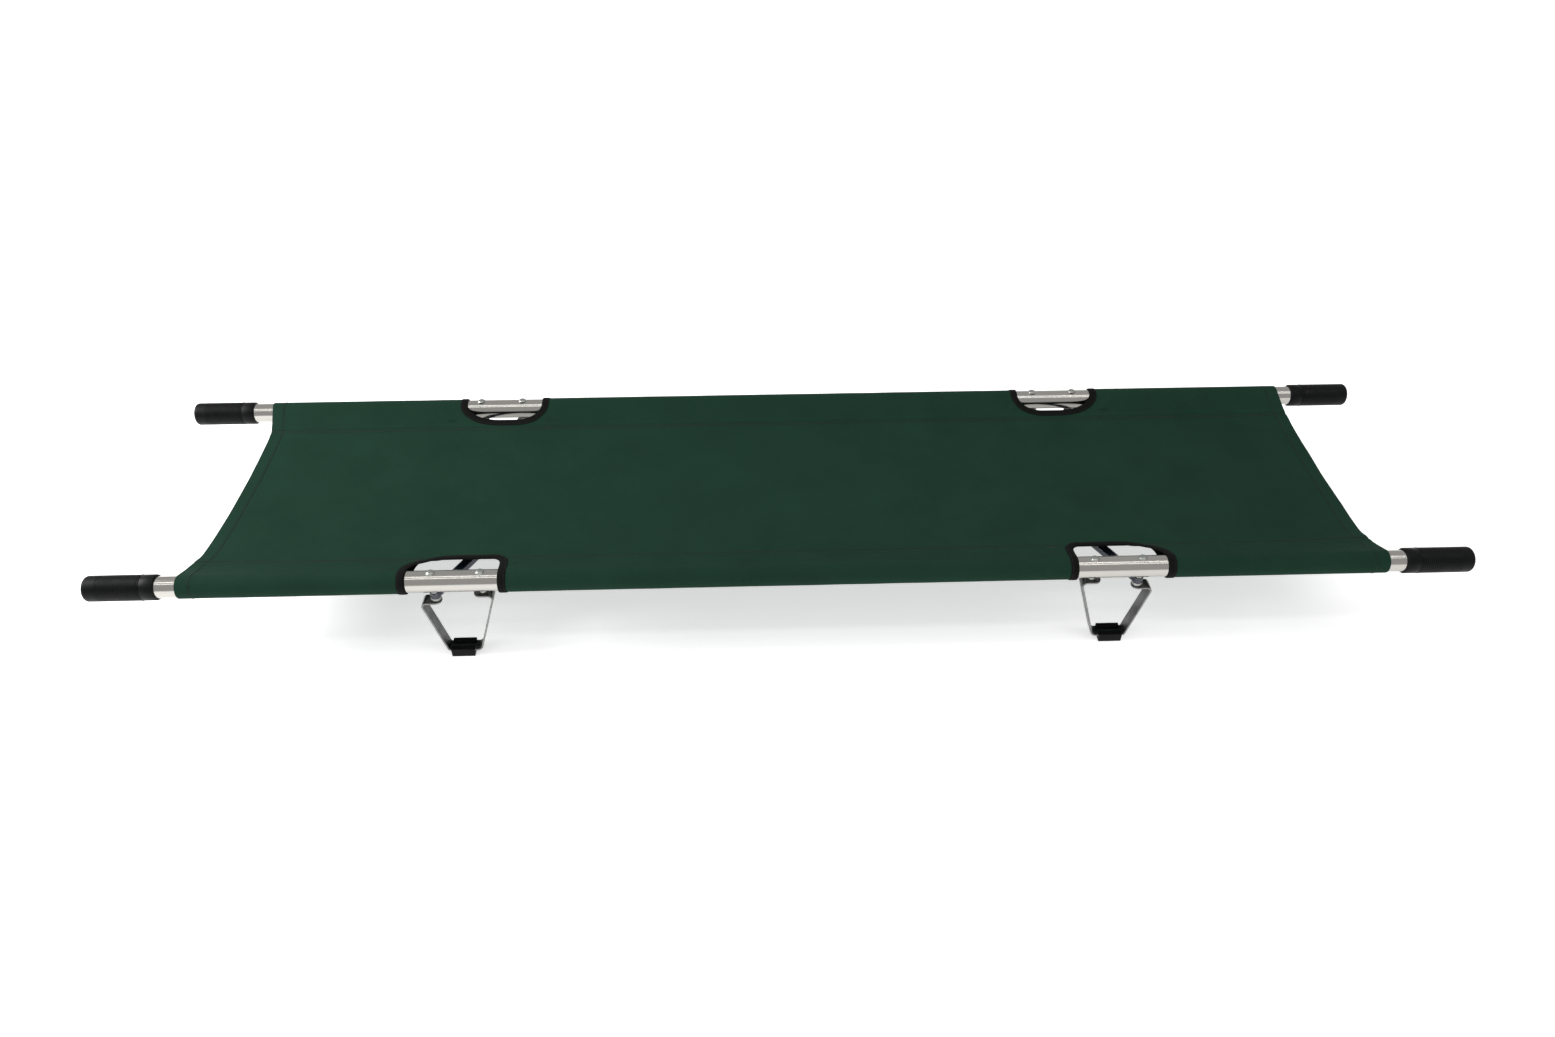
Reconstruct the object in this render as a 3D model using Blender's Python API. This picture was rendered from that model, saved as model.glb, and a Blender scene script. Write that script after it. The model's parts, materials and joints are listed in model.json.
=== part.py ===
"""Folding cot: two aluminium poles in a sewn canvas deck, with grips, strap feet and folding arms.

Metres, +X along the cot, +Y across it, +Z up. The origin is on the floor, under the deck's middle.
Bolts, arms and feet hang in a stack below each pole, and every piece of a stack takes its height
from the piece above it.
"""

import math

import bmesh
import bpy
from mathutils import Matrix

# Overall sizes
OVERALL_LENGTH = 2.200        # over the closed ends of the grips
POLE_SPACING = 0.490          # between the two pole axes, open
AXIS_HEIGHT = 0.154           # pole axis above the floor
GAP = 0.0003                  # left between pieces that touch
RUNNING_GAP = 0.0003          # round a bolt or a rivet

# Poles and grips
TUBE_DIAMETER = 0.035
TUBE_WALL = 0.002
GRIP_LENGTH = 0.111
GRIP_WALL = 0.0028
GRIP_END_WALL = 0.0040
GRIP_END_ROUND = 0.006
GRIP_COLLAR = 0.022           # plain collar at the grip's mouth
GRIP_BEAD_WIDTH = 0.002
GRIP_BEAD_HEIGHT = 0.0005

# Bolts, nuts, collars, washers and spacers
BOLT_RADIUS = 0.003
BOLT_HEAD_RADIUS = 0.007
BOLT_HEAD_HEIGHT = 0.0034
BOLT_END = 0.0012             # thread that shows below the nut
NUT_WIDTH = 0.010             # across the flats
NUT_HEIGHT = 0.004
PIVOT_INSET = 0.536           # pole end to pivot bolt
BOLT_SPACING = 0.077          # pivot bolt to foot bolt
COLLAR_RADIUS = 0.0065
COLLAR_HEIGHT = 0.0037
WASHER_RADIUS = 0.0085
WASHER_HEIGHT = 0.0060
SPACER_RADIUS = 0.0065
SPACER_HEIGHT = 0.0059

# Spreader arms
ARM_REST_ANGLE = math.radians(27.5)   # from straight across, elbow towards the cot's middle
ARM_WIDTH = 0.016
ARM_HEIGHT = 0.009
ARM_WALL = 0.0016
ARM_EYE_SOLID = 0.014         # solid stretch round the pivot, before the channel
ARM_LAP = 0.030               # half-height tongue at the elbow
LAP_GAP = 0.0006
RIVET_HEAD_RADIUS = 0.006
RIVET_HEAD_HEIGHT = 0.0016

# Feet and pads
STRAP_WIDTH = 0.022
STRAP_THICKNESS = 0.003
OUTER_FLANGE_END = 0.0090     # pivot bolt to the flange's free end, towards the foot bolt
INNER_FLANGE_END = 0.0155     # foot bolt to the flange's free end, towards the pivot bolt
OUTER_CORNER = 0.0240          # pivot bolt to the outer top corner
INNER_CORNER = 0.0165         # foot bolt to the inner top corner
OUTER_HEEL = 0.0040           # pivot bolt to the outer bottom corner, towards the foot bolt
INNER_HEEL = 0.0200           # foot bolt to the inner bottom corner, towards the pivot bolt
OUTER_TOP_BEND = 0.0065
INNER_TOP_BEND = 0.0070
OUTER_BOTTOM_BEND = 0.0045
INNER_BOTTOM_BEND = 0.0100
PAD_OUTER_MARGIN = 0.0003     # bend to the pad's outer end
PAD_INNER_MARGIN = 0.0040     # bend to the pad's inner end
PAD_SOLE = 0.0094
PAD_SIDE = 0.0030
PAD_LIP = 0.0028
PAD_SLOT = 0.0095

# Canvas and edge tape
FABRIC = 0.001                # one layer
BARE_TUBE = 0.032             # grip's mouth to the canvas
SEAM_OFFSET = 0.057           # pole axis to the sleeve's seam
SEAM_DROP = 0.0055            # seam below the pole axis
TAPE_TO_EDGE = 0.0035         # doubled canvas past the tape's deep edge
POCKET_END = 0.004            # inside of the sleeve stops this far before the seam
SLEEVE_FLARE = 0.004          # the canvas is this much longer at the seam than at the pole
DECK_HOLLOW = 0.0020          # each end of the deck curves in this much at its middle
DECK_CLEARANCE = 0.0015       # deck above the elbow rivets
# The near cut-outs reach the seam and have one tight corner; the far ones are shallower and rounder.
# A corner is a quarter ellipse, given as its size along the pole and across it.
CUTOUT_OUTER_MARGIN = {"near": 0.040, "far": 0.030}    # pivot bolt to the cut-out's outer side
CUTOUT_INNER_MARGIN = {"near": 0.029, "far": 0.035}    # foot bolt to the cut-out's inner side
CUTOUT_SHORT_OF_SEAM = {"near": 0.0, "far": 0.0154}
CUTOUT_INNER_CORNER = {"near": (0.012, 0.012), "far": (0.045, 0.034)}
CUTOUT_OUTER_CORNER = {"near": (0.060, 0.044), "far": (0.066, 0.034)}
TAPE_WIDTH = 0.0115
TAPE = 0.001

# Facets
TUBE_FACETS = 24
GRIP_FACETS = 20
BOLT_FACETS = 12
BEND_FACETS = 5
ROUND_END_FACETS = 5
SLEEVE_FACETS = 14
CORNER_FACETS = 5
DECK_COLUMNS = 20
DECK_ROWS = 10

# Worked out from the sizes above
HALF_LENGTH = OVERALL_LENGTH / 2
HALF_SPACING = POLE_SPACING / 2
TUBE_RADIUS = TUBE_DIAMETER / 2
HOLE_RADIUS = BOLT_RADIUS + RUNNING_GAP
GRIP_BORE = TUBE_RADIUS + GAP
GRIP_RADIUS = GRIP_BORE + GRIP_WALL
TUBE_HALF = HALF_LENGTH - GRIP_END_WALL - GAP
PIVOT_X = HALF_LENGTH - PIVOT_INSET
FOOT_X = PIVOT_X - BOLT_SPACING
COLLAR_TOP = -TUBE_RADIUS - GAP
ARM_TOP = COLLAR_TOP - COLLAR_HEIGHT - GAP
ARM_BOTTOM = ARM_TOP - ARM_HEIGHT
WASHER_TOP = ARM_BOTTOM - GAP
OUTER_FLANGE_TOP = WASHER_TOP - WASHER_HEIGHT - GAP
PIVOT_NUT_TOP = OUTER_FLANGE_TOP - STRAP_THICKNESS - GAP
INNER_FLANGE_TOP = COLLAR_TOP - SPACER_HEIGHT - GAP
FOOT_NUT_TOP = INNER_FLANGE_TOP - STRAP_THICKNESS - GAP
STRAP_BOTTOM = PAD_SOLE + GAP - AXIS_HEIGHT
PAD_HEIGHT = PAD_SOLE + GAP + STRAP_THICKNESS + GAP + PAD_LIP
PAD_WIDTH = STRAP_WIDTH + 2 * (GAP + PAD_SIDE)
ARM_LENGTH = HALF_SPACING / math.cos(ARM_REST_ANGLE)
ELBOW_X = PIVOT_X - ARM_LENGTH * math.sin(ARM_REST_ANGLE)
TONGUE = (ARM_HEIGHT - LAP_GAP) / 2
CANVAS_HALF = HALF_LENGTH - GRIP_LENGTH - BARE_TUBE
SEAM_Y = HALF_SPACING - SEAM_OFFSET
SLEEVE_EDGE = SEAM_OFFSET + TAPE_WIDTH + TAPE_TO_EDGE
SLEEVE_INSIDE = TUBE_RADIUS + GAP
SLEEVE_OUTSIDE = SLEEVE_INSIDE + FABRIC
DECK_MIDDLE = ARM_TOP + GAP + RIVET_HEAD_HEIGHT + DECK_CLEARANCE + FABRIC / 2

SIDES = (("near", -1), ("far", 1))
ENDS = (("left", -1), ("right", 1))


def clear_scene():
    for item in list(bpy.data.objects):
        bpy.data.objects.remove(item, do_unlink=True)


def material(name, colour, roughness, metallic):
    """A Principled material with one colour."""
    made = bpy.data.materials.new(name)
    made.use_nodes = True
    shader = made.node_tree.nodes["Principled BSDF"]
    shader.inputs["Base Color"].default_value = (*colour, 1.0)
    shader.inputs["Roughness"].default_value = roughness
    shader.inputs["Metallic"].default_value = metallic
    return made


def face_outwards(shape):
    """Make all faces agree, and turn them round where they then enclose a negative volume."""
    bmesh.ops.recalc_face_normals(shape, faces=shape.faces)
    if shape.calc_volume(signed=True) < 0:
        bmesh.ops.reverse_faces(shape, faces=shape.faces)


def mesh_object(name, shape, finish, location=(0, 0, 0), turn=0.0):
    """Turn a bmesh into an object. The deck is an open sheet here, which its modifier closes."""
    if all(edge.is_manifold for edge in shape.edges):
        face_outwards(shape)
    mesh = bpy.data.meshes.new(name)
    shape.to_mesh(mesh)
    shape.free()
    return place(name, mesh, finish, location, turn)


def place(name, mesh, finish, location=(0, 0, 0), turn=0.0):
    made = bpy.data.objects.new(name, mesh)
    bpy.context.collection.objects.link(made)
    if finish is not None and not mesh.materials:
        mesh.materials.append(finish)
    made.location = location
    made.rotation_euler = (0, 0, turn)
    return made


def smooth(made, angle=math.radians(35)):
    made.data.shade_smooth()
    made.data.set_sharp_from_angle(angle=angle)


def turned(profile, facets):
    """A solid turned about Z from a profile of (radius, height) points that starts and ends on Z,
    or that closes on itself."""
    shape = bmesh.new()
    rim = [shape.verts.new((radius, 0, height)) for radius, height in profile]
    edges = [shape.edges.new(pair) for pair in zip(rim, rim[1:])]
    if profile[0][0] > 0:
        edges.append(shape.edges.new((rim[-1], rim[0])))
    bmesh.ops.spin(shape, geom=rim + edges, cent=(0, 0, 0), axis=(0, 0, 1), angle=2 * math.pi,
                   steps=facets, use_merge=True)
    bmesh.ops.remove_doubles(shape, verts=shape.verts, dist=1e-6)
    return shape


def prism(outline, low, high):
    """A solid from a flat (x, y) outline, between two heights."""
    shape = bmesh.new()
    face = shape.faces.new([shape.verts.new((x, y, low)) for x, y in outline])
    grown = bmesh.ops.extrude_face_region(shape, geom=[face])
    raised = [item for item in grown["geom"] if isinstance(item, bmesh.types.BMVert)]
    bmesh.ops.translate(shape, verts=raised, vec=(0, 0, high - low))
    return shape


def along_pole(outline, low, high):
    """A section in (across, up), drawn out along X."""
    shape = prism(outline, low, high)
    for vertex in shape.verts:
        vertex.co = (vertex.co.z, vertex.co.x, vertex.co.y)
    return shape


def arc(centre, radii, start, end, facets):
    """Points on a part of an ellipse, from one angle to another, both ends included."""
    points = []
    for step in range(facets + 1):
        angle = start + (end - start) * step / facets
        points.append((centre[0] + radii[0] * math.cos(angle), centre[1] + radii[1] * math.sin(angle)))
    return points


def circle(centre, radius, facets=BOLT_FACETS):
    return arc(centre, (radius, radius), 0, 2 * math.pi * (facets - 1) / facets, facets - 1)


def rectangle(low, high):
    return [(low[0], low[1]), (high[0], low[1]), (high[0], high[1]), (low[0], high[1])]


def cut_with(body, name, shapes, operation="DIFFERENCE", location=(0, 0, 0), turn=0.0):
    """Cut a body with a cutter made of prisms that don't touch each other."""
    joined = bmesh.new()
    for shape in shapes:
        face_outwards(shape)
        part = bpy.data.meshes.new(name + "_part")
        shape.to_mesh(part)
        shape.free()
        joined.from_mesh(part)
        bpy.data.meshes.remove(part)
    mesh = bpy.data.meshes.new(name)
    joined.to_mesh(mesh)
    joined.free()
    cutter = place(name, mesh, None, location, turn)
    cutter.hide_render = True
    cutter.display_type = "WIRE"
    cut = body.modifiers.new(name, "BOOLEAN")
    cut.operation = operation
    cut.solver = "EXACT"
    cut.object = cutter


def turn_to_x(shape):
    """Lay a shape that was turned about Z along X."""
    bmesh.ops.rotate(shape, verts=shape.verts, cent=(0, 0, 0),
                     matrix=Matrix.Rotation(math.pi / 2, 3, "Y"))
    return shape


def build_pole(side, sign, finish):
    """A drawn tube with a vertical hole for each bolt."""
    inside = TUBE_RADIUS - TUBE_WALL
    profile = [(inside, -TUBE_HALF), (TUBE_RADIUS, -TUBE_HALF), (TUBE_RADIUS, TUBE_HALF),
               (inside, TUBE_HALF)]
    tube = mesh_object(f"pole_{side}", turn_to_x(turned(profile, TUBE_FACETS)), finish,
                       (0, sign * HALF_SPACING, AXIS_HEIGHT))
    holes = []
    for end in (-1, 1):
        for distance in (PIVOT_X, FOOT_X):
            holes.append(prism(circle((end * distance, 0), HOLE_RADIUS), -TUBE_DIAMETER, TUBE_DIAMETER))
    cut_with(tube, f"cut_bolt_holes_{side}", holes, location=tube.location)
    smooth(tube)


def grip_profile():
    """From the closed end's inside, along the bore, over the mouth and back to the closed end."""
    bead = GRIP_RADIUS + GRIP_BEAD_HEIGHT
    lead = GRIP_WALL * 0.25
    rounding = arc((GRIP_RADIUS - GRIP_END_ROUND, GRIP_LENGTH - GRIP_END_ROUND),
                   (GRIP_END_ROUND, GRIP_END_ROUND), 0, math.pi / 2, 4)
    return [
        (0, GRIP_LENGTH - GRIP_END_WALL),
        (GRIP_BORE, GRIP_LENGTH - GRIP_END_WALL),
        (GRIP_BORE, 0),
        (GRIP_RADIUS - lead, 0),
        (GRIP_RADIUS, lead),
        (GRIP_RADIUS, GRIP_COLLAR),
        (bead, GRIP_COLLAR + GRIP_BEAD_WIDTH * 0.25),
        (bead, GRIP_COLLAR + GRIP_BEAD_WIDTH * 0.75),
        (GRIP_RADIUS, GRIP_COLLAR + GRIP_BEAD_WIDTH),
        *rounding,
        (0, GRIP_LENGTH),
    ]


def build_grips(finish):
    first = None
    for side, sign in SIDES:
        for end, direction in ENDS:
            mouth = (direction * (HALF_LENGTH - GRIP_LENGTH), sign * HALF_SPACING, AXIS_HEIGHT)
            turn = 0.0 if direction > 0 else math.pi
            if first is None:
                first = mesh_object(f"grip_{side}_{end}", turn_to_x(turned(grip_profile(), GRIP_FACETS)),
                                    finish, mouth, turn)
            else:
                place(f"grip_{side}_{end}", first.data, finish, mouth, turn)
    smooth(first)


def bolt_profile(length):
    """Dome head above 0, shank below it."""
    head = arc((0, 0), (BOLT_HEAD_RADIUS, BOLT_HEAD_HEIGHT), math.pi / 2, 0, 4)
    return [(0, BOLT_HEAD_HEIGHT), *head[1:], (BOLT_RADIUS, 0), (BOLT_RADIUS, -length), (0, -length)]


def ring_profile(radius, height):
    """A washer, collar or spacer, below 0."""
    return [(HOLE_RADIUS, 0), (radius, 0), (radius, -height), (HOLE_RADIUS, -height)]


def nut_shape():
    corner = NUT_WIDTH / math.sqrt(3)
    return prism(circle((0, 0), corner, 6), -NUT_HEIGHT, 0)


def place_copies(name, shape, finish, distance, height):
    """The same small piece at one bolt line of each foot."""
    first = None
    for side, sign in SIDES:
        for end, direction in ENDS:
            where = (direction * distance, sign * HALF_SPACING, AXIS_HEIGHT + height)
            if first is None:
                first = mesh_object(f"{name}_{side}_{end}", shape, finish, where)
            else:
                place(f"{name}_{side}_{end}", first.data, finish, where)
    smooth(first)


def build_nuts(name, finish, distance, height):
    for side, sign in SIDES:
        for end, direction in ENDS:
            where = (direction * distance, sign * HALF_SPACING, AXIS_HEIGHT + height)
            nut = mesh_object(f"{name}_{side}_{end}", nut_shape(), finish, where)
            cut_with(nut, f"cut_{name}_{side}_{end}",
                     [prism(circle((0, 0), HOLE_RADIUS), -2 * NUT_HEIGHT, NUT_HEIGHT)], location=where)


def build_fasteners(steel):
    head = TUBE_RADIUS + GAP
    pivot_shank = head - (PIVOT_NUT_TOP - NUT_HEIGHT - BOLT_END)
    foot_shank = head - (FOOT_NUT_TOP - NUT_HEIGHT - BOLT_END)
    place_copies("pivot_bolt", turned(bolt_profile(pivot_shank), BOLT_FACETS), steel, PIVOT_X, head)
    place_copies("foot_bolt", turned(bolt_profile(foot_shank), BOLT_FACETS), steel, FOOT_X, head)
    place_copies("pivot_collar", turned(ring_profile(COLLAR_RADIUS, COLLAR_HEIGHT), BOLT_FACETS), steel,
                 PIVOT_X, COLLAR_TOP)
    place_copies("pivot_washer", turned(ring_profile(WASHER_RADIUS, WASHER_HEIGHT), BOLT_FACETS), steel,
                 PIVOT_X, WASHER_TOP)
    place_copies("foot_spacer", turned(ring_profile(SPACER_RADIUS, SPACER_HEIGHT), BOLT_FACETS), steel,
                 FOOT_X, COLLAR_TOP)
    build_nuts("pivot_nut", steel, PIVOT_X, PIVOT_NUT_TOP)
    build_nuts("foot_nut", steel, FOOT_X, FOOT_NUT_TOP)


def filleted(corners, radii):
    """A path through corners, each rounded with its own radius; the first and last stay sharp."""
    path = [corners[0]]
    for before, corner, after, radius in zip(corners, corners[1:], corners[2:], radii):
        to_before = math.atan2(before[1] - corner[1], before[0] - corner[0])
        to_after = math.atan2(after[1] - corner[1], after[0] - corner[0])
        half = (to_after - to_before) / 2
        reach = radius / abs(math.sin(half))
        middle = to_before + half
        if math.cos(half) < 0:
            middle += math.pi
        centre = (corner[0] + reach * math.cos(middle), corner[1] + reach * math.sin(middle))
        starts = []
        for heading in (to_before, to_after):
            along = reach * abs(math.cos(half))
            touch = (corner[0] + along * math.cos(heading), corner[1] + along * math.sin(heading))
            starts.append(math.atan2(touch[1] - centre[1], touch[0] - centre[0]))
        sweep = (starts[1] - starts[0] + math.pi) % (2 * math.pi) - math.pi
        path += arc(centre, (radius, radius), starts[0], starts[0] + sweep, BEND_FACETS)
    path.append(corners[-1])
    return path


def strap_path():
    """The strap's middle line in (x, z): outer flange, outer leg, sole, inner leg, inner flange."""
    half = STRAP_THICKNESS / 2
    outer = OUTER_FLANGE_TOP - half
    inner = INNER_FLANGE_TOP - half
    sole = STRAP_BOTTOM + half
    corners = [(-OUTER_FLANGE_END, outer), (OUTER_CORNER, outer), (-OUTER_HEEL, sole),
               (INNER_HEEL - BOLT_SPACING, sole), (-INNER_CORNER - BOLT_SPACING, inner),
               (INNER_FLANGE_END - BOLT_SPACING, inner)]
    return filleted(corners, [OUTER_TOP_BEND, OUTER_BOTTOM_BEND, INNER_BOTTOM_BEND, INNER_TOP_BEND])


def pad_reach():
    """The pad's two ends along the strap's straight sole, from the pivot bolt."""
    path = strap_path()
    bend = BEND_FACETS + 1
    outer, inner = path[2 * bend][0], path[2 * bend + 1][0]
    return inner + PAD_INNER_MARGIN, outer - PAD_OUTER_MARGIN


def rounded_stations(path):
    """Path points with a half width each: both free ends are half round."""
    half = STRAP_WIDTH / 2
    stations = []
    for step in range(1, ROUND_END_FACETS + 1):
        angle = math.pi / 2 * step / ROUND_END_FACETS
        stations.append((half * (1 - math.cos(angle)), half * math.sin(angle)))
    start, end = path[0], path[-1]
    first = [((start[0] + along, start[1]), width) for along, width in stations]
    last = [((end[0] - along, end[1]), width) for along, width in reversed(stations)]
    middle = [(point, half) for point in path[1:-1]]
    return first + middle + last


def strap_shape():
    """The bent strap, its flat side along Y, with the pivot bolt on x = 0."""
    stations = rounded_stations(strap_path())
    shape = bmesh.new()
    rings = []
    for index, ((x, z), half_width) in enumerate(stations):
        before = stations[max(index - 1, 0)][0]
        after = stations[min(index + 1, len(stations) - 1)][0]
        heading = math.atan2(after[1] - before[1], after[0] - before[0])
        across = (-math.sin(heading) * STRAP_THICKNESS / 2, math.cos(heading) * STRAP_THICKNESS / 2)
        rings.append([shape.verts.new((x + side * across[0], y * half_width, z + side * across[1]))
                      for side, y in ((-1, -1), (1, -1), (1, 1), (-1, 1))])
    for ring, following in zip(rings, rings[1:]):
        for corner in range(4):
            beside = (corner + 1) % 4
            shape.faces.new((ring[corner], ring[beside], following[beside], following[corner]))
    shape.faces.new(rings[0])
    shape.faces.new(rings[-1])
    return shape


def pad_shape():
    """A moulded channel clipped round the sole of the strap, open along the top."""
    half = PAD_WIDTH / 2
    inside = half - PAD_SIDE
    strap_top = PAD_SOLE + GAP + STRAP_THICKNESS + GAP
    slot = PAD_SLOT / 2
    outline = [(-half, 0), (half, 0), (half, PAD_HEIGHT), (slot, PAD_HEIGHT), (slot, strap_top),
               (inside, strap_top), (inside, PAD_SOLE), (-inside, PAD_SOLE), (-inside, strap_top),
               (-slot, strap_top), (-slot, PAD_HEIGHT), (-half, PAD_HEIGHT)]
    start, end = pad_reach()
    return along_pole(outline, (start - end) / 2, (end - start) / 2)


def build_feet(steel, rubber):
    pad_x = PIVOT_X + sum(pad_reach()) / 2
    for side, sign in SIDES:
        for end, direction in ENDS:
            turn = 0.0 if direction > 0 else math.pi
            where = (direction * PIVOT_X, sign * HALF_SPACING, AXIS_HEIGHT)
            foot = mesh_object(f"foot_{side}_{end}", strap_shape(), steel, where, turn)
            outer = prism(circle((0, 0), HOLE_RADIUS), PIVOT_NUT_TOP, OUTER_FLANGE_TOP + GAP)
            inner = prism(circle((-BOLT_SPACING, 0), HOLE_RADIUS), FOOT_NUT_TOP, INNER_FLANGE_TOP + GAP)
            cut_with(foot, f"cut_foot_{side}_{end}", [outer, inner], location=where, turn=turn)
            mesh_object(f"foot_pad_{side}_{end}", pad_shape(), rubber,
                        (direction * pad_x, sign * HALF_SPACING, 0))


def build_arm(name, pivot, heading, lower_tongue, finish):
    """A channel arm from its pivot on a pole to the elbow, with a half-height tongue there."""
    half = ARM_WIDTH / 2
    outline = (arc((0, 0), (half, half), math.pi / 2, 1.5 * math.pi, 2 * ROUND_END_FACETS)
               + arc((ARM_LENGTH, 0), (half, half), -math.pi / 2, math.pi / 2, 2 * ROUND_END_FACETS))
    where = (*pivot, AXIS_HEIGHT)
    arm = mesh_object(name, prism(outline, ARM_BOTTOM, ARM_TOP), finish, where, heading)
    lap_start = ARM_LENGTH - ARM_LAP
    pocket = prism(rectangle((ARM_EYE_SOLID, -half + ARM_WALL), (lap_start - ARM_WALL, half - ARM_WALL)),
                   ARM_BOTTOM + ARM_WALL, ARM_TOP + ARM_HEIGHT)
    low, high = (ARM_BOTTOM + TONGUE, ARM_TOP + ARM_HEIGHT) if lower_tongue else (
        ARM_BOTTOM - ARM_HEIGHT, ARM_TOP - TONGUE)
    lap = prism(rectangle((lap_start, -ARM_WIDTH), (ARM_LENGTH + ARM_WIDTH, ARM_WIDTH)), low, high)
    cut_with(arm, f"cut_channel_{name}", [pocket, lap], location=where, turn=heading)
    holes = [prism(circle((along, 0), HOLE_RADIUS), ARM_BOTTOM - ARM_HEIGHT, ARM_TOP + ARM_HEIGHT)
             for along in (0, ARM_LENGTH)]
    cut_with(arm, f"cut_holes_{name}", holes, location=where, turn=heading)
    smooth(arm)


def rivet_profile():
    """Elbow rivet: a head above the arms, the shank, and a head below."""
    top = ARM_TOP + GAP
    bottom = ARM_BOTTOM - GAP
    chamfer = RIVET_HEAD_HEIGHT / 2
    return [(0, top + RIVET_HEAD_HEIGHT), (RIVET_HEAD_RADIUS - chamfer, top + RIVET_HEAD_HEIGHT),
            (RIVET_HEAD_RADIUS, top + chamfer), (RIVET_HEAD_RADIUS, top), (BOLT_RADIUS, top),
            (BOLT_RADIUS, bottom), (RIVET_HEAD_RADIUS, bottom), (RIVET_HEAD_RADIUS, bottom - chamfer),
            (RIVET_HEAD_RADIUS - chamfer, bottom - RIVET_HEAD_HEIGHT), (0, bottom - RIVET_HEAD_HEIGHT)]


def build_arms(paint, steel):
    for end, direction in ENDS:
        for side, sign in SIDES:
            to_elbow = math.atan2(-sign * math.cos(ARM_REST_ANGLE), -direction * math.sin(ARM_REST_ANGLE))
            build_arm(f"spreader_arm_{side}_{end}", (direction * PIVOT_X, sign * HALF_SPACING), to_elbow,
                      side == "near", paint)
        rivet = mesh_object(f"elbow_rivet_{end}", turned(rivet_profile(), BOLT_FACETS), steel,
                            (direction * ELBOW_X, 0, AXIS_HEIGHT))
        smooth(rivet)


def sleeve_outline(radius, seam_grow, edge):
    """The sleeve's section in (distance from the pole's axis, height): round the pole, then flat to the
    seam and on to an edge. seam_grow is half the thickness at the seam."""
    high = (SEAM_OFFSET, -SEAM_DROP + seam_grow)
    low = (SEAM_OFFSET, -SEAM_DROP - seam_grow)
    to_high = math.atan2(high[1], high[0]) + math.acos(radius / math.hypot(*high))
    to_low = math.atan2(low[1], low[0]) - math.acos(radius / math.hypot(*low))
    around = arc((0, 0), (radius, radius), to_high, to_low + 2 * math.pi, SLEEVE_FACETS)
    lower = deck_height(HALF_SPACING - edge)
    return around + [low, (edge, lower - seam_grow), (edge, lower + seam_grow), high]


def pocket_outline():
    """The hollow of the sleeve that the pole slides through."""
    tip = (SEAM_OFFSET - POCKET_END, -SEAM_DROP)
    spread = math.acos(SLEEVE_INSIDE / math.hypot(*tip))
    to_tip = math.atan2(tip[1], tip[0])
    return arc((0, 0), (SLEEVE_INSIDE, SLEEVE_INSIDE), to_tip + spread, to_tip - spread + 2 * math.pi,
               SLEEVE_FACETS) + [tip]


def deck_height(y):
    """The canvas sags to a parabola between its two seams, measured from the pole axis."""
    rise = -SEAM_DROP - DECK_MIDDLE
    return DECK_MIDDLE + rise * (y / SEAM_Y) ** 2


def deck_end(y):
    """How far the canvas reaches along X: each end is hollow."""
    return CANVAS_HALF + SLEEVE_FLARE - DECK_HOLLOW * (1 - (y / SEAM_Y) ** 2)


def cutout_sides(side):
    """Where a pole's cut-outs start and end along it, from the cot's middle."""
    return FOOT_X - CUTOUT_INNER_MARGIN[side], PIVOT_X + CUTOUT_OUTER_MARGIN[side]


def cutout_outline(side, direction, grow):
    """A cut-out in plan, in (x, distance from the pole's axis), grown all round."""
    deep = SEAM_OFFSET - CUTOUT_SHORT_OF_SEAM[side] + grow
    start, end = cutout_sides(side)
    start -= grow
    end += grow
    inner, inner_rise = (size + grow for size in CUTOUT_INNER_CORNER[side])
    outer, outer_rise = (size + grow for size in CUTOUT_OUTER_CORNER[side])
    facets = CORNER_FACETS if inner < outer / 2 else 2 * CORNER_FACETS
    front = -2 * TUBE_DIAMETER
    points = ([(start, front)]
              + arc((start + inner, deep - inner_rise), (inner, inner_rise), math.pi, math.pi / 2, facets)
              + arc((end - outer, deep - outer_rise), (outer, outer_rise), math.pi / 2, 0, 2 * CORNER_FACETS)
              + [(end, front)])
    return [(direction * x, y) for x, y in points]


def build_sleeve(side, sign, canvas):
    """Canvas round one pole, sewn to itself, with a cut-out at each foot."""
    turn = 0.0 if sign < 0 else math.pi
    where = (0, sign * HALF_SPACING, AXIS_HEIGHT)
    shape = along_pole(sleeve_outline(SLEEVE_OUTSIDE, FABRIC, SLEEVE_EDGE), -CANVAS_HALF, CANVAS_HALF)
    for vertex in shape.verts:
        outward = SLEEVE_FLARE * min(max(vertex.co.y, 0) / SEAM_OFFSET, 1)
        vertex.co.x += math.copysign(outward, vertex.co.x)
    sleeve = mesh_object(f"sleeve_{side}", shape, canvas, where, turn)
    cut_with(sleeve, f"cut_pocket_{side}", [along_pole(pocket_outline(), -HALF_LENGTH, HALF_LENGTH)],
             location=where, turn=turn)
    cutouts = [prism(cutout_outline(side, direction, 0), -TUBE_DIAMETER, TUBE_DIAMETER)
               for direction in (-1, 1)]
    cut_with(sleeve, f"cut_cutouts_{side}", cutouts, location=where, turn=turn)
    smooth(sleeve)


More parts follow.
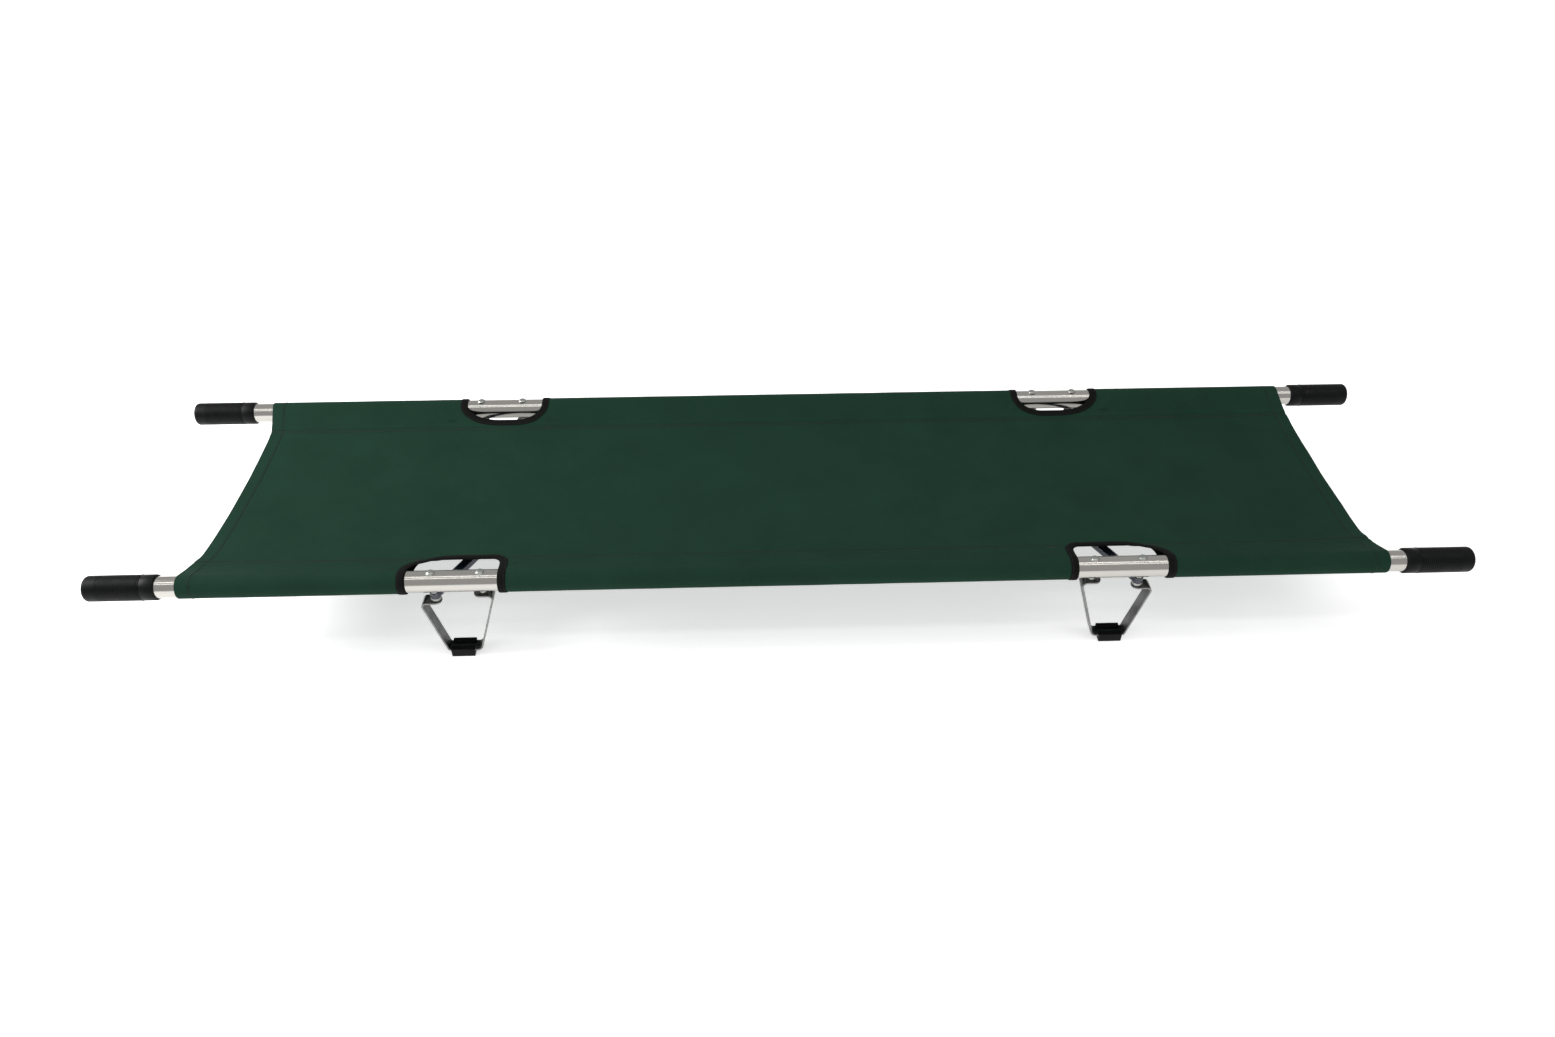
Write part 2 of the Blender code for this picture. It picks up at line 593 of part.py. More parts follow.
def build_tape(side, sign, end, direction, finish):
    """Edge tape round one cut-out, lying on the sleeve."""
    turn = 0.0 if sign < 0 else math.pi
    local = direction if sign < 0 else -direction
    where = (0, sign * HALF_SPACING, AXIS_HEIGHT)
    name = f"edge_tape_{side}_{end}"
    start, stop = cutout_sides(side)
    reach = sorted((local * (start - 4 * TAPE_WIDTH), local * (stop + 4 * TAPE_WIDTH)))
    inside = SLEEVE_OUTSIDE + GAP
    outer_skin = along_pole(sleeve_outline(inside + TAPE, FABRIC + GAP + TAPE, SLEEVE_EDGE), *reach)
    tape = mesh_object(name, outer_skin, finish, where, turn)
    inner_skin = along_pole(sleeve_outline(inside, FABRIC + GAP, SLEEVE_EDGE + TAPE_WIDTH),
                            reach[0] - TAPE_WIDTH, reach[1] + TAPE_WIDTH)
    cut_with(tape, f"cut_skin_{name}", [inner_skin], location=where, turn=turn)
    outside = prism(cutout_outline(side, local, TAPE_WIDTH), -TUBE_DIAMETER, TUBE_DIAMETER)
    cut_with(tape, f"keep_{name}", [outside], "INTERSECT", location=where, turn=turn)
    opening = prism(cutout_outline(side, local, 0), -2 * TUBE_DIAMETER, 2 * TUBE_DIAMETER)
    cut_with(tape, f"cut_opening_{name}", [opening], location=where, turn=turn)
    smooth(tape)


def build_deck(canvas):
    """The sagging canvas between the two seams."""
    half = HALF_SPACING - SLEEVE_EDGE - GAP
    shape = bmesh.new()
    bmesh.ops.create_grid(shape, x_segments=DECK_COLUMNS, y_segments=DECK_ROWS, size=1)
    for vertex in shape.verts:
        y = vertex.co.y * half
        vertex.co = (vertex.co.x * deck_end(y), y, AXIS_HEIGHT + deck_height(y))
    deck = mesh_object("deck", shape, canvas)
    thicken = deck.modifiers.new("canvas", "SOLIDIFY")
    thicken.thickness = FABRIC
    thicken.offset = 0
    smooth(deck)


def build_cot():
    clear_scene()
    aluminium = material("aluminium", (0.80, 0.80, 0.80), 0.25, 1.0)
    grip = material("grip_rubber", (0.012, 0.012, 0.013), 0.55, 0.0)
    zinc = material("zinc_steel", (0.55, 0.55, 0.56), 0.35, 1.0)
    paint = material("dark_paint", (0.02, 0.025, 0.045), 0.4, 0.0)
    canvas = material("green_canvas", (0.018, 0.055, 0.035), 0.9, 0.0)
    tape = material("black_tape", (0.006, 0.006, 0.006), 0.8, 0.0)
    rubber = material("pad_rubber", (0.008, 0.008, 0.008), 0.6, 0.0)
    for side, sign in SIDES:
        build_pole(side, sign, aluminium)
        build_sleeve(side, sign, canvas)
        for end, direction in ENDS:
            build_tape(side, sign, end, direction, tape)
    build_grips(grip)
    build_fasteners(zinc)
    build_feet(zinc, rubber)
    build_arms(paint, zinc)
    build_deck(canvas)


build_cot()
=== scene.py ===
"""Looks of the folding cot: its canvas, edge tapes, tubes, grips, strap feet, bolts and folding arms.

Metres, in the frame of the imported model: +X along the cot, +Y across it, +Z up, floor at z = 0.
"""

import json
import math

import bmesh
import bpy
import numpy as np
from mathutils import Matrix, Vector, noise


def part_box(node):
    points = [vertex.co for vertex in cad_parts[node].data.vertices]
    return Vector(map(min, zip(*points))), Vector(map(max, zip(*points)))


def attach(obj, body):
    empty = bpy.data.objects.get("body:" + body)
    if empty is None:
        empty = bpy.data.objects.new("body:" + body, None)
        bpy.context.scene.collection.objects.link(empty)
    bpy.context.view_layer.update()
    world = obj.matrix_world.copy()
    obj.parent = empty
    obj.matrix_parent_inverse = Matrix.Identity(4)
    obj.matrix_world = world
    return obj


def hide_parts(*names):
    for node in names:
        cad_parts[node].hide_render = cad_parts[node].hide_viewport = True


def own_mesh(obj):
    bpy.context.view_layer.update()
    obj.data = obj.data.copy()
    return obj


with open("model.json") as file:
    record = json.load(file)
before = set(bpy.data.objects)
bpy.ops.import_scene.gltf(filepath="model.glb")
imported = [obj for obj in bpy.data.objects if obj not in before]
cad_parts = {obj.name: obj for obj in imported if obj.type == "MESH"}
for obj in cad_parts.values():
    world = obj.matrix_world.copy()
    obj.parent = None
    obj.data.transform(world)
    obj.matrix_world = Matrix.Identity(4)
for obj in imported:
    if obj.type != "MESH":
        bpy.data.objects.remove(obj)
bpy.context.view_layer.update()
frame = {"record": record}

SIDES = (("near", -1), ("far", 1))
ENDS = (("left", -1), ("right", 1))
SIGN = dict(SIDES)
CORNERS = [(side, sign, end, direction) for side, sign in SIDES for end, direction in ENDS]


def middle_of(node):
    low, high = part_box(node)
    return (low + high) / 2


def size_of(node):
    low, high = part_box(node)
    return high - low


def heights_of(node):
    low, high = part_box(node)
    return low.z, high.z


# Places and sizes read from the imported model
AXIS_HEIGHT = middle_of("pole_far").z
HALF_SPACING = middle_of("pole_far").y
TUBE_RADIUS = size_of("pole_far").z / 2
TUBE_HALF = size_of("pole_far").x / 2
PIVOT_X = middle_of("pivot_bolt_far_right").x
FOOT_X = middle_of("foot_bolt_far_right").x
BOLT_SPACING = PIVOT_X - FOOT_X
ELBOW_X = middle_of("elbow_rivet_right").x
BODY_OF = {node: body for body, nodes in frame["record"]["behaviour"]["bodies"].items() for node in nodes}

# Canvas
GAP = 0.0003
FABRIC = 0.001                # one layer
HEM = 0.0215                  # hem line to the canvas's end
SEAM_OFFSET = 0.057           # pole axis to the sleeve's seam
SEAM_DROP = 0.0055            # seam below the pole axis
SLEEVE_EDGE = 0.072           # pole axis to where the sleeve ends and the deck begins
SLEEVE_RADIUS = TUBE_RADIUS + GAP + FABRIC / 2
WRAP_SLACK = 0.00022          # of the cloth round the pole
ROWS_PAST_CUTOUT = {"near": 10, "far": 20}
# The near cut-outs reach past the seam; the far ones are shallower, rounder and sit a little to the right.
# A corner is a quarter ellipse, given as its size along the pole and across it.
CUTOUT_IN = {"near": FOOT_X - 0.029, "far": FOOT_X - 0.035}
CUTOUT_OUT = {"near": PIVOT_X + 0.040, "far": PIVOT_X + 0.030}
CUTOUT_DEPTH = {"near": SEAM_OFFSET + 0.0035, "far": SEAM_OFFSET - 0.0154}
CUTOUT_SHIFT = {"near": 0.0, "far": 0.004}
CUTOUT_LEAN = {"near": 0.009, "far": 0.0}     # the inner side leans outwards on its way in to the seam
INNER_CORNER = {"near": (0.012, 0.014), "far": (0.045, 0.034)}
OUTER_CORNER = {"near": (0.060, 0.046), "far": (0.066, 0.034)}
UNDER_CORNER = {"near": (0.026, 0.026), "far": (0.044, 0.030)}    # the same corner in the lower layer
SEAM_Y = HALF_SPACING - SEAM_OFFSET
DECK_HALF = HALF_SPACING - SLEEVE_EDGE
DECK_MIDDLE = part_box("deck")[0].z + FABRIC / 2 - AXIS_HEIGHT
DECK_LIFT = FABRIC / 2        # the deck is the sleeve's upper layer carried on
DECK_ROWS = 61
DECK_BREAKS = (0.49, 0.55)    # where the deck's columns change their spacing
# Columns of the canvas's net: hem, past the hem, to the cut-out, cut-out, between the cut-outs and back out
COLUMN_COUNTS = (6, 8, 50, 30, 170, 30, 50, 8, 6)
# How far the canvas reaches along X, at places across the cot: its ends are sewn a little unevenly
CANVAS_REACH = {
    "left": ((-0.245, 0.9565), (-0.200, 0.9585), (-0.172, 0.9530), (0.0, 0.9510), (0.184, 0.9455),
             (0.245, 0.9540)),
    "right": ((-0.245, 0.9610), (-0.205, 0.9625), (-0.170, 0.9600), (-0.080, 0.9660), (0.070, 0.9690),
              (0.175, 0.9665), (0.245, 0.9610)),
}

# Edge tape
TAPE_WIDTH = 0.0115
TAPE_THICK = 0.0011
TAPE_INSIDE = 0.00025

# Stitching: a stitch's length and thickness, and what one stitch takes of its row
SEAM_STITCH = (0.0038, 0.0006)
HEM_STITCH = (0.0040, 0.0007)
TAPE_STITCH = (0.0030, 0.0003)
TACK_STITCH = (0.0036, 0.0006)
STITCH_PITCH = 0.0042
TAPE_STITCH_PITCH = 0.0038
TACK_PITCH = 0.0009
TACK_STITCHES = 9
SEAM_ROWS = (SEAM_OFFSET, SEAM_OFFSET + 0.0048)
SEAM_STARTS, SEAM_STOPS = -0.9585, 0.9635

# Poles and grips
TUBE_WALL = 0.002
TUBE_SPANS = 44
GRIP_LENGTH = size_of("grip_far_right").x
GRIP_RADIUS = 0.0206
GRIP_COLLAR = 0.022
GRIP_PLAIN = 0.020            # smooth stretch at the closed end
GRIP_END_WALL = 0.004
GRIP_ROUND = 0.006
GRIP_PITCH = 0.0032
GRIP_GROOVE = 0.0004

# Bolts, nuts and rings
BOLT_RADIUS = 0.003
BOLT_HEAD_RADIUS = 0.007
BOLT_HEAD_HEIGHT = 0.0034
RING_BORE = 0.0033
NUT_ACROSS_FLATS = 0.010
RIVET_HEAD_RADIUS = 0.0060
RIVET_HEAD_HEIGHT = 0.0016

# Feet
STRAP_WIDTH = 0.022
STRAP_THICK = 0.003
OUTER_FLANGE_TOP = -0.0374    # below the pole axis
INNER_FLANGE_TOP = -0.0240
STRAP_SOLE = 0.0097           # the strap's underside above the floor
PAD_WALL = 0.0030
PAD_SLOT = 0.0095             # between the pad's lips

# Arms
ARM_TOP = -0.0218             # below the pole axis
ARM_WIDTH = 0.016
ARM_HEIGHT = 0.009
ARM_WALL = 0.0016
ARM_LENGTH = math.hypot(HALF_SPACING, PIVOT_X - ELBOW_X)
ARM_EYE = 0.014               # solid stretch round the pivot, before the channel
ARM_LAP = 0.030               # half-height tongue at the elbow
ARM_TONGUE = (ARM_HEIGHT - 0.0006) / 2
ARM_TURN = math.atan2(PIVOT_X - ELBOW_X, HALF_SPACING)

# Camera
CAMERA_PLACE = (-0.0705, -1.6152, 1.3724)
CAMERA_ANGLES = (2.12, 38.87, 0.18)       # yaw, pitch down and roll, in degrees
CAMERA_SENSOR = 36
CAMERA_LENS = 26.69


# ---------------------------------------------------------------- working by hand

def deselect_all():
    if bpy.context.mode != "OBJECT":
        bpy.ops.object.mode_set(mode="OBJECT")
    bpy.ops.object.select_all(action="DESELECT")


def pick(piece):
    deselect_all()
    piece.select_set(True)
    bpy.context.view_layer.objects.active = piece


def named(name):
    """Name the piece that was just added."""
    piece = bpy.context.active_object
    piece.name = name
    piece.data.name = name
    return piece


def settle(piece):
    """Put a piece's place, turn and scale into its mesh."""
    pick(piece)
    bpy.ops.object.transform_apply(location=True, rotation=True, scale=True)


def edit(piece):
    pick(piece)
    bpy.ops.object.mode_set(mode="EDIT")


def choose(piece, kind, test):
    """In edit mode, select the faces, edges or vertices that pass a test."""
    bpy.ops.mesh.select_mode(type=kind)
    bpy.ops.mesh.select_all(action="DESELECT")
    shape = bmesh.from_edit_mesh(piece.data)
    for item in {"FACE": shape.faces, "EDGE": shape.edges, "VERT": shape.verts}[kind]:
        if test(item):
            item.select_set(True)
    shape.select_flush_mode()
    bmesh.update_edit_mesh(piece.data)


def edge_middle(edge):
    return (edge.verts[0].co + edge.verts[1].co) / 2


def apply_modifier(piece, kind, **settings):
    pick(piece)
    made = piece.modifiers.new(kind.lower(), kind)
    for name, value in settings.items():
        setattr(made, name, value)
    bpy.ops.object.modifier_apply(modifier=made.name)


def round_edges(piece, width, segments=3, angle=35, finish_slot=-1):
    apply_modifier(piece, "BEVEL", width=width, segments=segments, limit_method="ANGLE",
                   angle_limit=math.radians(angle), material=finish_slot)
    smooth(piece)


def smooth(piece, angle=35):
    pick(piece)
    bpy.ops.object.shade_smooth_by_angle(angle=math.radians(angle))


def close_up(piece):
    """Merge a piece's doubles and turn its faces outwards."""
    edit(piece)
    bpy.ops.mesh.select_all(action="SELECT")
    bpy.ops.mesh.remove_doubles(threshold=0.00001)
    bpy.ops.mesh.normals_make_consistent(inside=False)
    bpy.ops.object.mode_set(mode="OBJECT")


def block(name, low, high):
    deselect_all()
    low, high = Vector(low), Vector(high)
    bpy.ops.mesh.primitive_cube_add(size=1, location=(low + high) / 2)
    piece = named(name)
    piece.scale = high - low
    settle(piece)
    return piece


def cut_box(piece, low, high):
    """Saw a box out of a piece."""
    cutter = block("cutter", low, high)
    apply_modifier(piece, "BOOLEAN", object=cutter, operation="DIFFERENCE", solver="EXACT")
    bpy.data.objects.remove(cutter, do_unlink=True)


def pushed_rings(name, rings, facets=48, hollow=False, upright=False):
    """A round piece: a ring pushed along X from place to place and resized at each, given as
    (along, radius). A hollow one comes back to its first ring. An upright one stands along Z."""
    deselect_all()
    along, radius = rings[0]
    bpy.ops.mesh.primitive_circle_add(vertices=facets, radius=radius, location=(along, 0, 0),
                                      fill_type="NOTHING" if hollow else "NGON",
                                      rotation=(0, math.pi / 2, 0))
    piece = named(name)
    settle(piece)
    edit(piece)
    bpy.ops.mesh.select_all(action="SELECT")
    for place, size in rings[1:]:
        bpy.ops.mesh.extrude_region_move(TRANSFORM_OT_translate={"value": (place - along, 0, 0)})
        ratio = size / radius
        bpy.ops.transform.resize(value=(1, ratio, ratio), center_override=(place, 0, 0))
        along, radius = place, size
    close_up(piece)
    if upright:
        piece.rotation_euler = (0, -math.pi / 2, 0)
        settle(piece)
    smooth(piece)
    return piece


def copied(model, name, move=(0, 0, 0), turn=0.0):
    """A copy of a model with its own mesh, turned about Z and moved."""
    pick(model)
    bpy.ops.object.duplicate(linked=False)
    piece = named(name)
    piece.rotation_euler = (0, 0, turn)
    piece.location = move
    settle(piece)
    return piece


def discard(*models):
    for model in models:
        bpy.data.objects.remove(model, do_unlink=True)


def to_corners(model, name, node, distance, height, turned, slot, *finishes):
    """A copy of a model at each of the cot's four corners, turned round at the left ones if need be."""
    for side, sign, end, direction in CORNERS:
        turn = math.pi if turned and direction < 0 else 0.0
        place = (direction * distance, sign * HALF_SPACING, height)
        piece = copied(model, f"{name}_{side}_{end}", place, turn)
        finished(piece, f"{node}_{side}_{end}", slot, *finishes)
    discard(model)


def finished(piece, node, slot, *finishes):
    """Let a piece stand for its node, ride on that node's body and take its finish."""
    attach(piece, BODY_OF[node])
    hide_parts(node)
    paint(piece, *finishes)
    return piece


def paint(piece, *finishes):
    while len(piece.data.materials) < len(finishes):
        piece.data.materials.append(None)
    for index, finish in enumerate(finishes):
        piece.data.materials[index] = finish


# ---------------------------------------------------------------- shared shader effects

def new_group(name, inputs, outputs):
    """A shader group with named sockets: {name: (socket type, default)}."""
    group = bpy.data.node_groups.new(name, "ShaderNodeTree")
    for label, (kind, value) in inputs.items():
        socket = group.interface.new_socket(name=label, in_out="INPUT", socket_type="NodeSocket" + kind)
        if value is not None:
            socket.default_value = value
    for label, kind in outputs.items():
        group.interface.new_socket(name=label, in_out="OUTPUT", socket_type="NodeSocket" + kind)
    return group, Tree(group)


class Tree:
    """Short ways to add and join nodes in one tree."""

    def __init__(self, tree):
        self.tree = tree

    def add(self, kind, **settings):
        node = self.tree.nodes.new(kind)
        for name, value in settings.items():
            setattr(node, name, value)
        return node

    def join(self, source, target):
        self.tree.links.new(source, target)

    def fill(self, node, values):
        """Set or link a node's inputs, by name or by place."""
        for key, value in values.items():
            socket = node.inputs[key]
            if isinstance(value, bpy.types.NodeSocket):
                self.join(value, socket)
            else:
                socket.default_value = value
        return node

    def maths(self, operation, *values):
        node = self.add("ShaderNodeMath", operation=operation)
        return self.fill(node, dict(enumerate(values))).outputs[0]

    def noise(self, vector, scale, detail=2.0, roughness=0.5):
        node = self.add("ShaderNodeTexNoise")
        self.fill(node, {"Vector": vector, "Scale": scale, "Detail": detail, "Roughness": roughness})
        return node.outputs["Fac"]

    def spread(self, value, from_low, from_high, to_low, to_high):
        node = self.add("ShaderNodeMapRange")
        self.fill(node, {"Value": value, "From Min": from_low, "From Max": from_high,
                         "To Min": to_low, "To Max": to_high})
        return node.outputs["Result"]

    def mix(self, share, first, second):
        """Between two colours, given as red, green and blue."""
        node = self.add("ShaderNodeMix", data_type="RGBA")
        self.fill(node, {0: share, 6: (*first, 1), 7: (*second, 1)})
        return node.outputs[2]

    def stretched(self, vector, scale):
        node = self.add("ShaderNodeMapping")
        return self.fill(node, {"Vector": vector, "Scale": scale}).outputs[0]

    def bump(self, height, distance, strength=1.0, normal=None):
        node = self.add("ShaderNodeBump")
        self.fill(node, {"Height": height, "Distance": distance, "Strength": strength})
        if normal is not None:
            self.join(normal, node.inputs["Normal"])
        return node.outputs[0]

    def place(self, group, **values):
        node = self.add("ShaderNodeGroup", node_tree=group)
        return self.fill(node, {name.replace("_", " "): value for name, value in values.items()}).outputs


def weave_group():
    """Plain weave from a cloth's own map: threads over and under each other, uneven dye, and painted shade in
    the dips between the threads.
    """
    group, t = new_group("plain_weave", {"Vector": ("Vector", None), "Threads": ("Float", 1000.0),
                                         "Unevenness": ("Float", 0.5)},
                         {"Height": "Float", "Dye_and_weave_shade": "Float"})
    given = t.add("NodeGroupInput").outputs
    split = t.add("ShaderNodeSeparateXYZ")
    t.join(given["Vector"], split.inputs[0])
    along = t.maths("MULTIPLY", split.outputs[0], given["Threads"])
    across = t.maths("MULTIPLY", split.outputs[1], given["Threads"])
    warp = t.maths("ABSOLUTE", t.maths("SINE", t.maths("MULTIPLY", along, math.pi)))
    weft = t.maths("ABSOLUTE", t.maths("SINE", t.maths("MULTIPLY", across, math.pi)))
    turn = t.maths("MODULO", t.maths("ADD", t.maths("FLOOR", along), t.maths("FLOOR", across)), 2.0)
    over = t.maths("ABSOLUTE", turn)
    height = t.maths("ADD", t.maths("MULTIPLY", warp, over),
                     t.maths("MULTIPLY", weft, t.maths("SUBTRACT", 1.0, over)))
    cloudy = t.noise(given["Vector"], 9.0, 4.0, 0.6)
    thread = t.noise(t.stretched(given["Vector"], (60.0, 900.0, 1.0)), 1.0, 2.0)
    uneven = t.maths("MULTIPLY", t.maths("SUBTRACT", t.maths("ADD", cloudy, t.maths("MULTIPLY", thread, 0.6)),
                                         0.8), given["Unevenness"])
    # Uneven dye, plus painted shade: the colour darkens where the weave's height falls, between the threads.
    dye_and_weave_shade = t.maths("ADD", t.maths("ADD", 0.42, uneven), t.maths("MULTIPLY", height, 0.16))
    out = t.add("NodeGroupOutput")
    t.fill(out, {"Height": height, "Dye_and_weave_shade": dye_and_weave_shade})
    return group


def grain_group():
    """Fine moulded or cast grain, with a soft large mottling."""
    group, t = new_group("moulded_grain", {"Vector": ("Vector", None), "Scale": ("Float", 900.0)},
                         {"Height": "Float", "Mottle": "Float"})
    given = t.add("NodeGroupInput").outputs
    fine = t.noise(given["Vector"], given["Scale"], 3.0, 0.6)
    broad = t.noise(given["Vector"], 40.0, 3.0, 0.55)
    out = t.add("NodeGroupOutput")
    t.fill(out, {"Height": fine, "Mottle": broad})
    return group


def handling_group():
    """Handling marks: thin scratches one way, smears the other, as one mask."""
    group, t = new_group("handling_marks", {"Vector": ("Vector", None), "Amount": ("Float", 1.0)},
                         {"Mask": "Float", "Lines": "Float"})
    given = t.add("NodeGroupInput").outputs
    lines = t.noise(t.stretched(given["Vector"], (6.0, 1500.0, 1500.0)), 1.0, 2.0)
    smear = t.noise(t.stretched(given["Vector"], (14.0, 40.0, 40.0)), 1.0, 4.0, 0.62)
    mask = t.maths("MULTIPLY", t.spread(smear, 0.42, 0.72, 0.0, 1.0), given["Amount"])
    out = t.add("NodeGroupOutput")
    t.fill(out, {"Mask": mask, "Lines": lines})
    return group


WEAVE = weave_group()
GRAIN = grain_group()
HANDLING = handling_group()


# ---------------------------------------------------------------- materials

def new_finish(name, **constants):
    """A new material, its tree, its shader and its coordinates. Constants are sockets of the shader."""
    made = bpy.data.materials.new(name)
    made.use_nodes = True
    t = Tree(made.node_tree)
    shader = made.node_tree.nodes["Principled BSDF"]
    for label, value in constants.items():
        shader.inputs[label.replace("_", " ")].default_value = value
    where = t.add("ShaderNodeTexCoord")
    return made, t, shader, where


def woven_finish(name, dark, light, roughness, threads, unevenness, relief, gloss):
    """Plain-woven cloth: its tones, with painted shade between the threads, and roughness, threads to the
    metre, and the weave's relief.
    """
    made, t, shader, where = new_finish(name, Specular_IOR_Level=gloss)
    weave = t.place(WEAVE, Vector=where.outputs["UV"], Threads=threads, Unevenness=unevenness)
    t.fill(shader, {"Base Color": t.mix(weave["Dye_and_weave_shade"], dark, light),
                    "Roughness": t.spread(weave["Dye_and_weave_shade"], 0.2, 0.8, *roughness),
                    "Normal": t.bump(weave["Height"], *relief)})
    return made


def thread_finish(name, dark, light):
    """Twisted sewing thread."""
    made, t, shader, where = new_finish(name)
    twist = t.noise(t.stretched(where.outputs["Object"], (1400.0, 1400.0, 1400.0)), 1.0, 2.0)
    t.fill(shader, {"Base Color": t.mix(twist, dark, light),
                    "Roughness": t.spread(twist, 0.3, 0.7, 0.55, 0.8),
                    "Normal": t.bump(twist, 0.0002, 0.6)})
    return made


def tube_finish():
    """Drawn aluminium: fine lines along the tube, faint dull smears."""
    made, t, shader, where = new_finish("drawn_aluminium", Metallic=1.0)
    marks = t.place(HANDLING, Vector=where.outputs["Object"], Amount=0.5)
    colour = t.mix(marks["Mask"], (0.48, 0.465, 0.435), (0.43, 0.42, 0.395))
    rough = t.maths("ADD", t.spread(marks["Lines"], 0.3, 0.7, 0.165, 0.175),
                    t.maths("MULTIPLY", marks["Mask"], 0.015))
    t.fill(shader, {"Base Color": colour, "Roughness": rough})
    return made


def zinc_finish(name, bright, dull, smoothest):
    """Zinc-plated steel: a slightly blue plating, clouded, with a fine grain."""
    made, t, shader, where = new_finish(name, Metallic=1.0)
    grain = t.place(GRAIN, Vector=where.outputs["Object"], Scale=1400.0)
    cloud = t.spread(grain["Mottle"], 0.35, 0.68, 0.0, 1.0)
    t.fill(shader, {"Base Color": t.mix(cloud, bright, dull),
                    "Roughness": t.spread(cloud, 0.0, 1.0, smoothest, smoothest + 0.18),
                    "Normal": t.bump(grain["Height"], 0.00004, 0.5)})
    return made


def grained_finish(name, dark, light, roughness, scale, relief, **constants):
    """Moulded rubber or thick paint: faintly mottled, with a fine grain."""
    made, t, shader, where = new_finish(name, **constants)
    grain = t.place(GRAIN, Vector=where.outputs["Object"], Scale=scale)
    t.fill(shader, {"Base Color": t.mix(grain["Mottle"], dark, light),
                    "Roughness": t.spread(grain["Mottle"], 0.3, 0.7, *roughness),
                    "Normal": t.bump(grain["Height"], *relief)})
    return made


CANVAS = woven_finish("green_canvas", (0.0045, 0.0205, 0.0115), (0.0165, 0.0500, 0.0330), (0.74, 0.86),
                      1250.0, 0.55, (0.00018, 0.55), gloss=0.06)
TAPE = woven_finish("black_tape", (0.0012, 0.0012, 0.0012), (0.0048, 0.0048, 0.0046), (0.7, 0.9),
                    900.0, 0.8, (0.0003, 0.8), gloss=0.12)
GREEN_THREAD = thread_finish("green_thread", (0.0008, 0.0025, 0.0018), (0.003, 0.008, 0.006))
BLACK_THREAD = thread_finish("black_thread", (0.002, 0.002, 0.002), (0.010, 0.010, 0.010))
ALUMINIUM = tube_finish()
ZINC = zinc_finish("zinc_strap", (0.17, 0.17, 0.17), (0.09, 0.09, 0.09), 0.26)
# A lighter copy of the strap's zinc for its side faces: a painted highlight.
STRAP_SIDE_HIGHLIGHT = zinc_finish("strap_side_highlight", (0.26, 0.26, 0.25), (0.17, 0.17, 0.165), 0.30)
BRIGHT_ZINC = zinc_finish("zinc_bolts", (0.44, 0.45, 0.42), (0.30, 0.31, 0.30), 0.28)
# Bright metal for the arms' rounded edges: a painted highlight.
ARM_EDGE_HIGHLIGHT = zinc_finish("arm_edge_highlight", (0.50, 0.52, 0.55), (0.20, 0.22, 0.26), 0.30)
PAINT = grained_finish("arm_paint", (0.010, 0.014, 0.026), (0.026, 0.034, 0.055), (0.30, 0.45),
                       600.0, (0.00008, 0.5), Coat_Weight=0.25, Coat_Roughness=0.25)
GRIP_RUBBER = grained_finish("grip_rubber", (0.0014, 0.0018, 0.0018), (0.0046, 0.0052, 0.0052), (0.38, 0.56),
                             1100.0, (0.00012, 0.6), Specular_IOR_Level=0.12)
PAD_RUBBER = grained_finish("pad_rubber", (0.0016, 0.0016, 0.0016), (0.0045, 0.0045, 0.0045), (0.50, 0.66),
                            1100.0, (0.00012, 0.6), Specular_IOR_Level=0.12)


# ---------------------------------------------------------------- poles and grips

def build_poles():
    chamfer = 0.0005
    bore = TUBE_RADIUS - TUBE_WALL
    rings = [(-TUBE_HALF, bore), (-TUBE_HALF, TUBE_RADIUS - chamfer), (-TUBE_HALF + chamfer, TUBE_RADIUS)]
    rings += [(TUBE_HALF * (2 * step / TUBE_SPANS - 1), TUBE_RADIUS) for step in range(1, TUBE_SPANS)]
    rings += [(TUBE_HALF - chamfer, TUBE_RADIUS), (TUBE_HALF, TUBE_RADIUS - chamfer), (TUBE_HALF, bore),
              (-TUBE_HALF, bore)]
    model = pushed_rings("pole", rings, facets=96, hollow=True)
    for side, sign in SIDES:
        pole = copied(model, f"tube_{side}", (0, sign * HALF_SPACING, AXIS_HEIGHT))
        finished(pole, f"pole_{side}", "aluminium_tube", ALUMINIUM)
    discard(model)


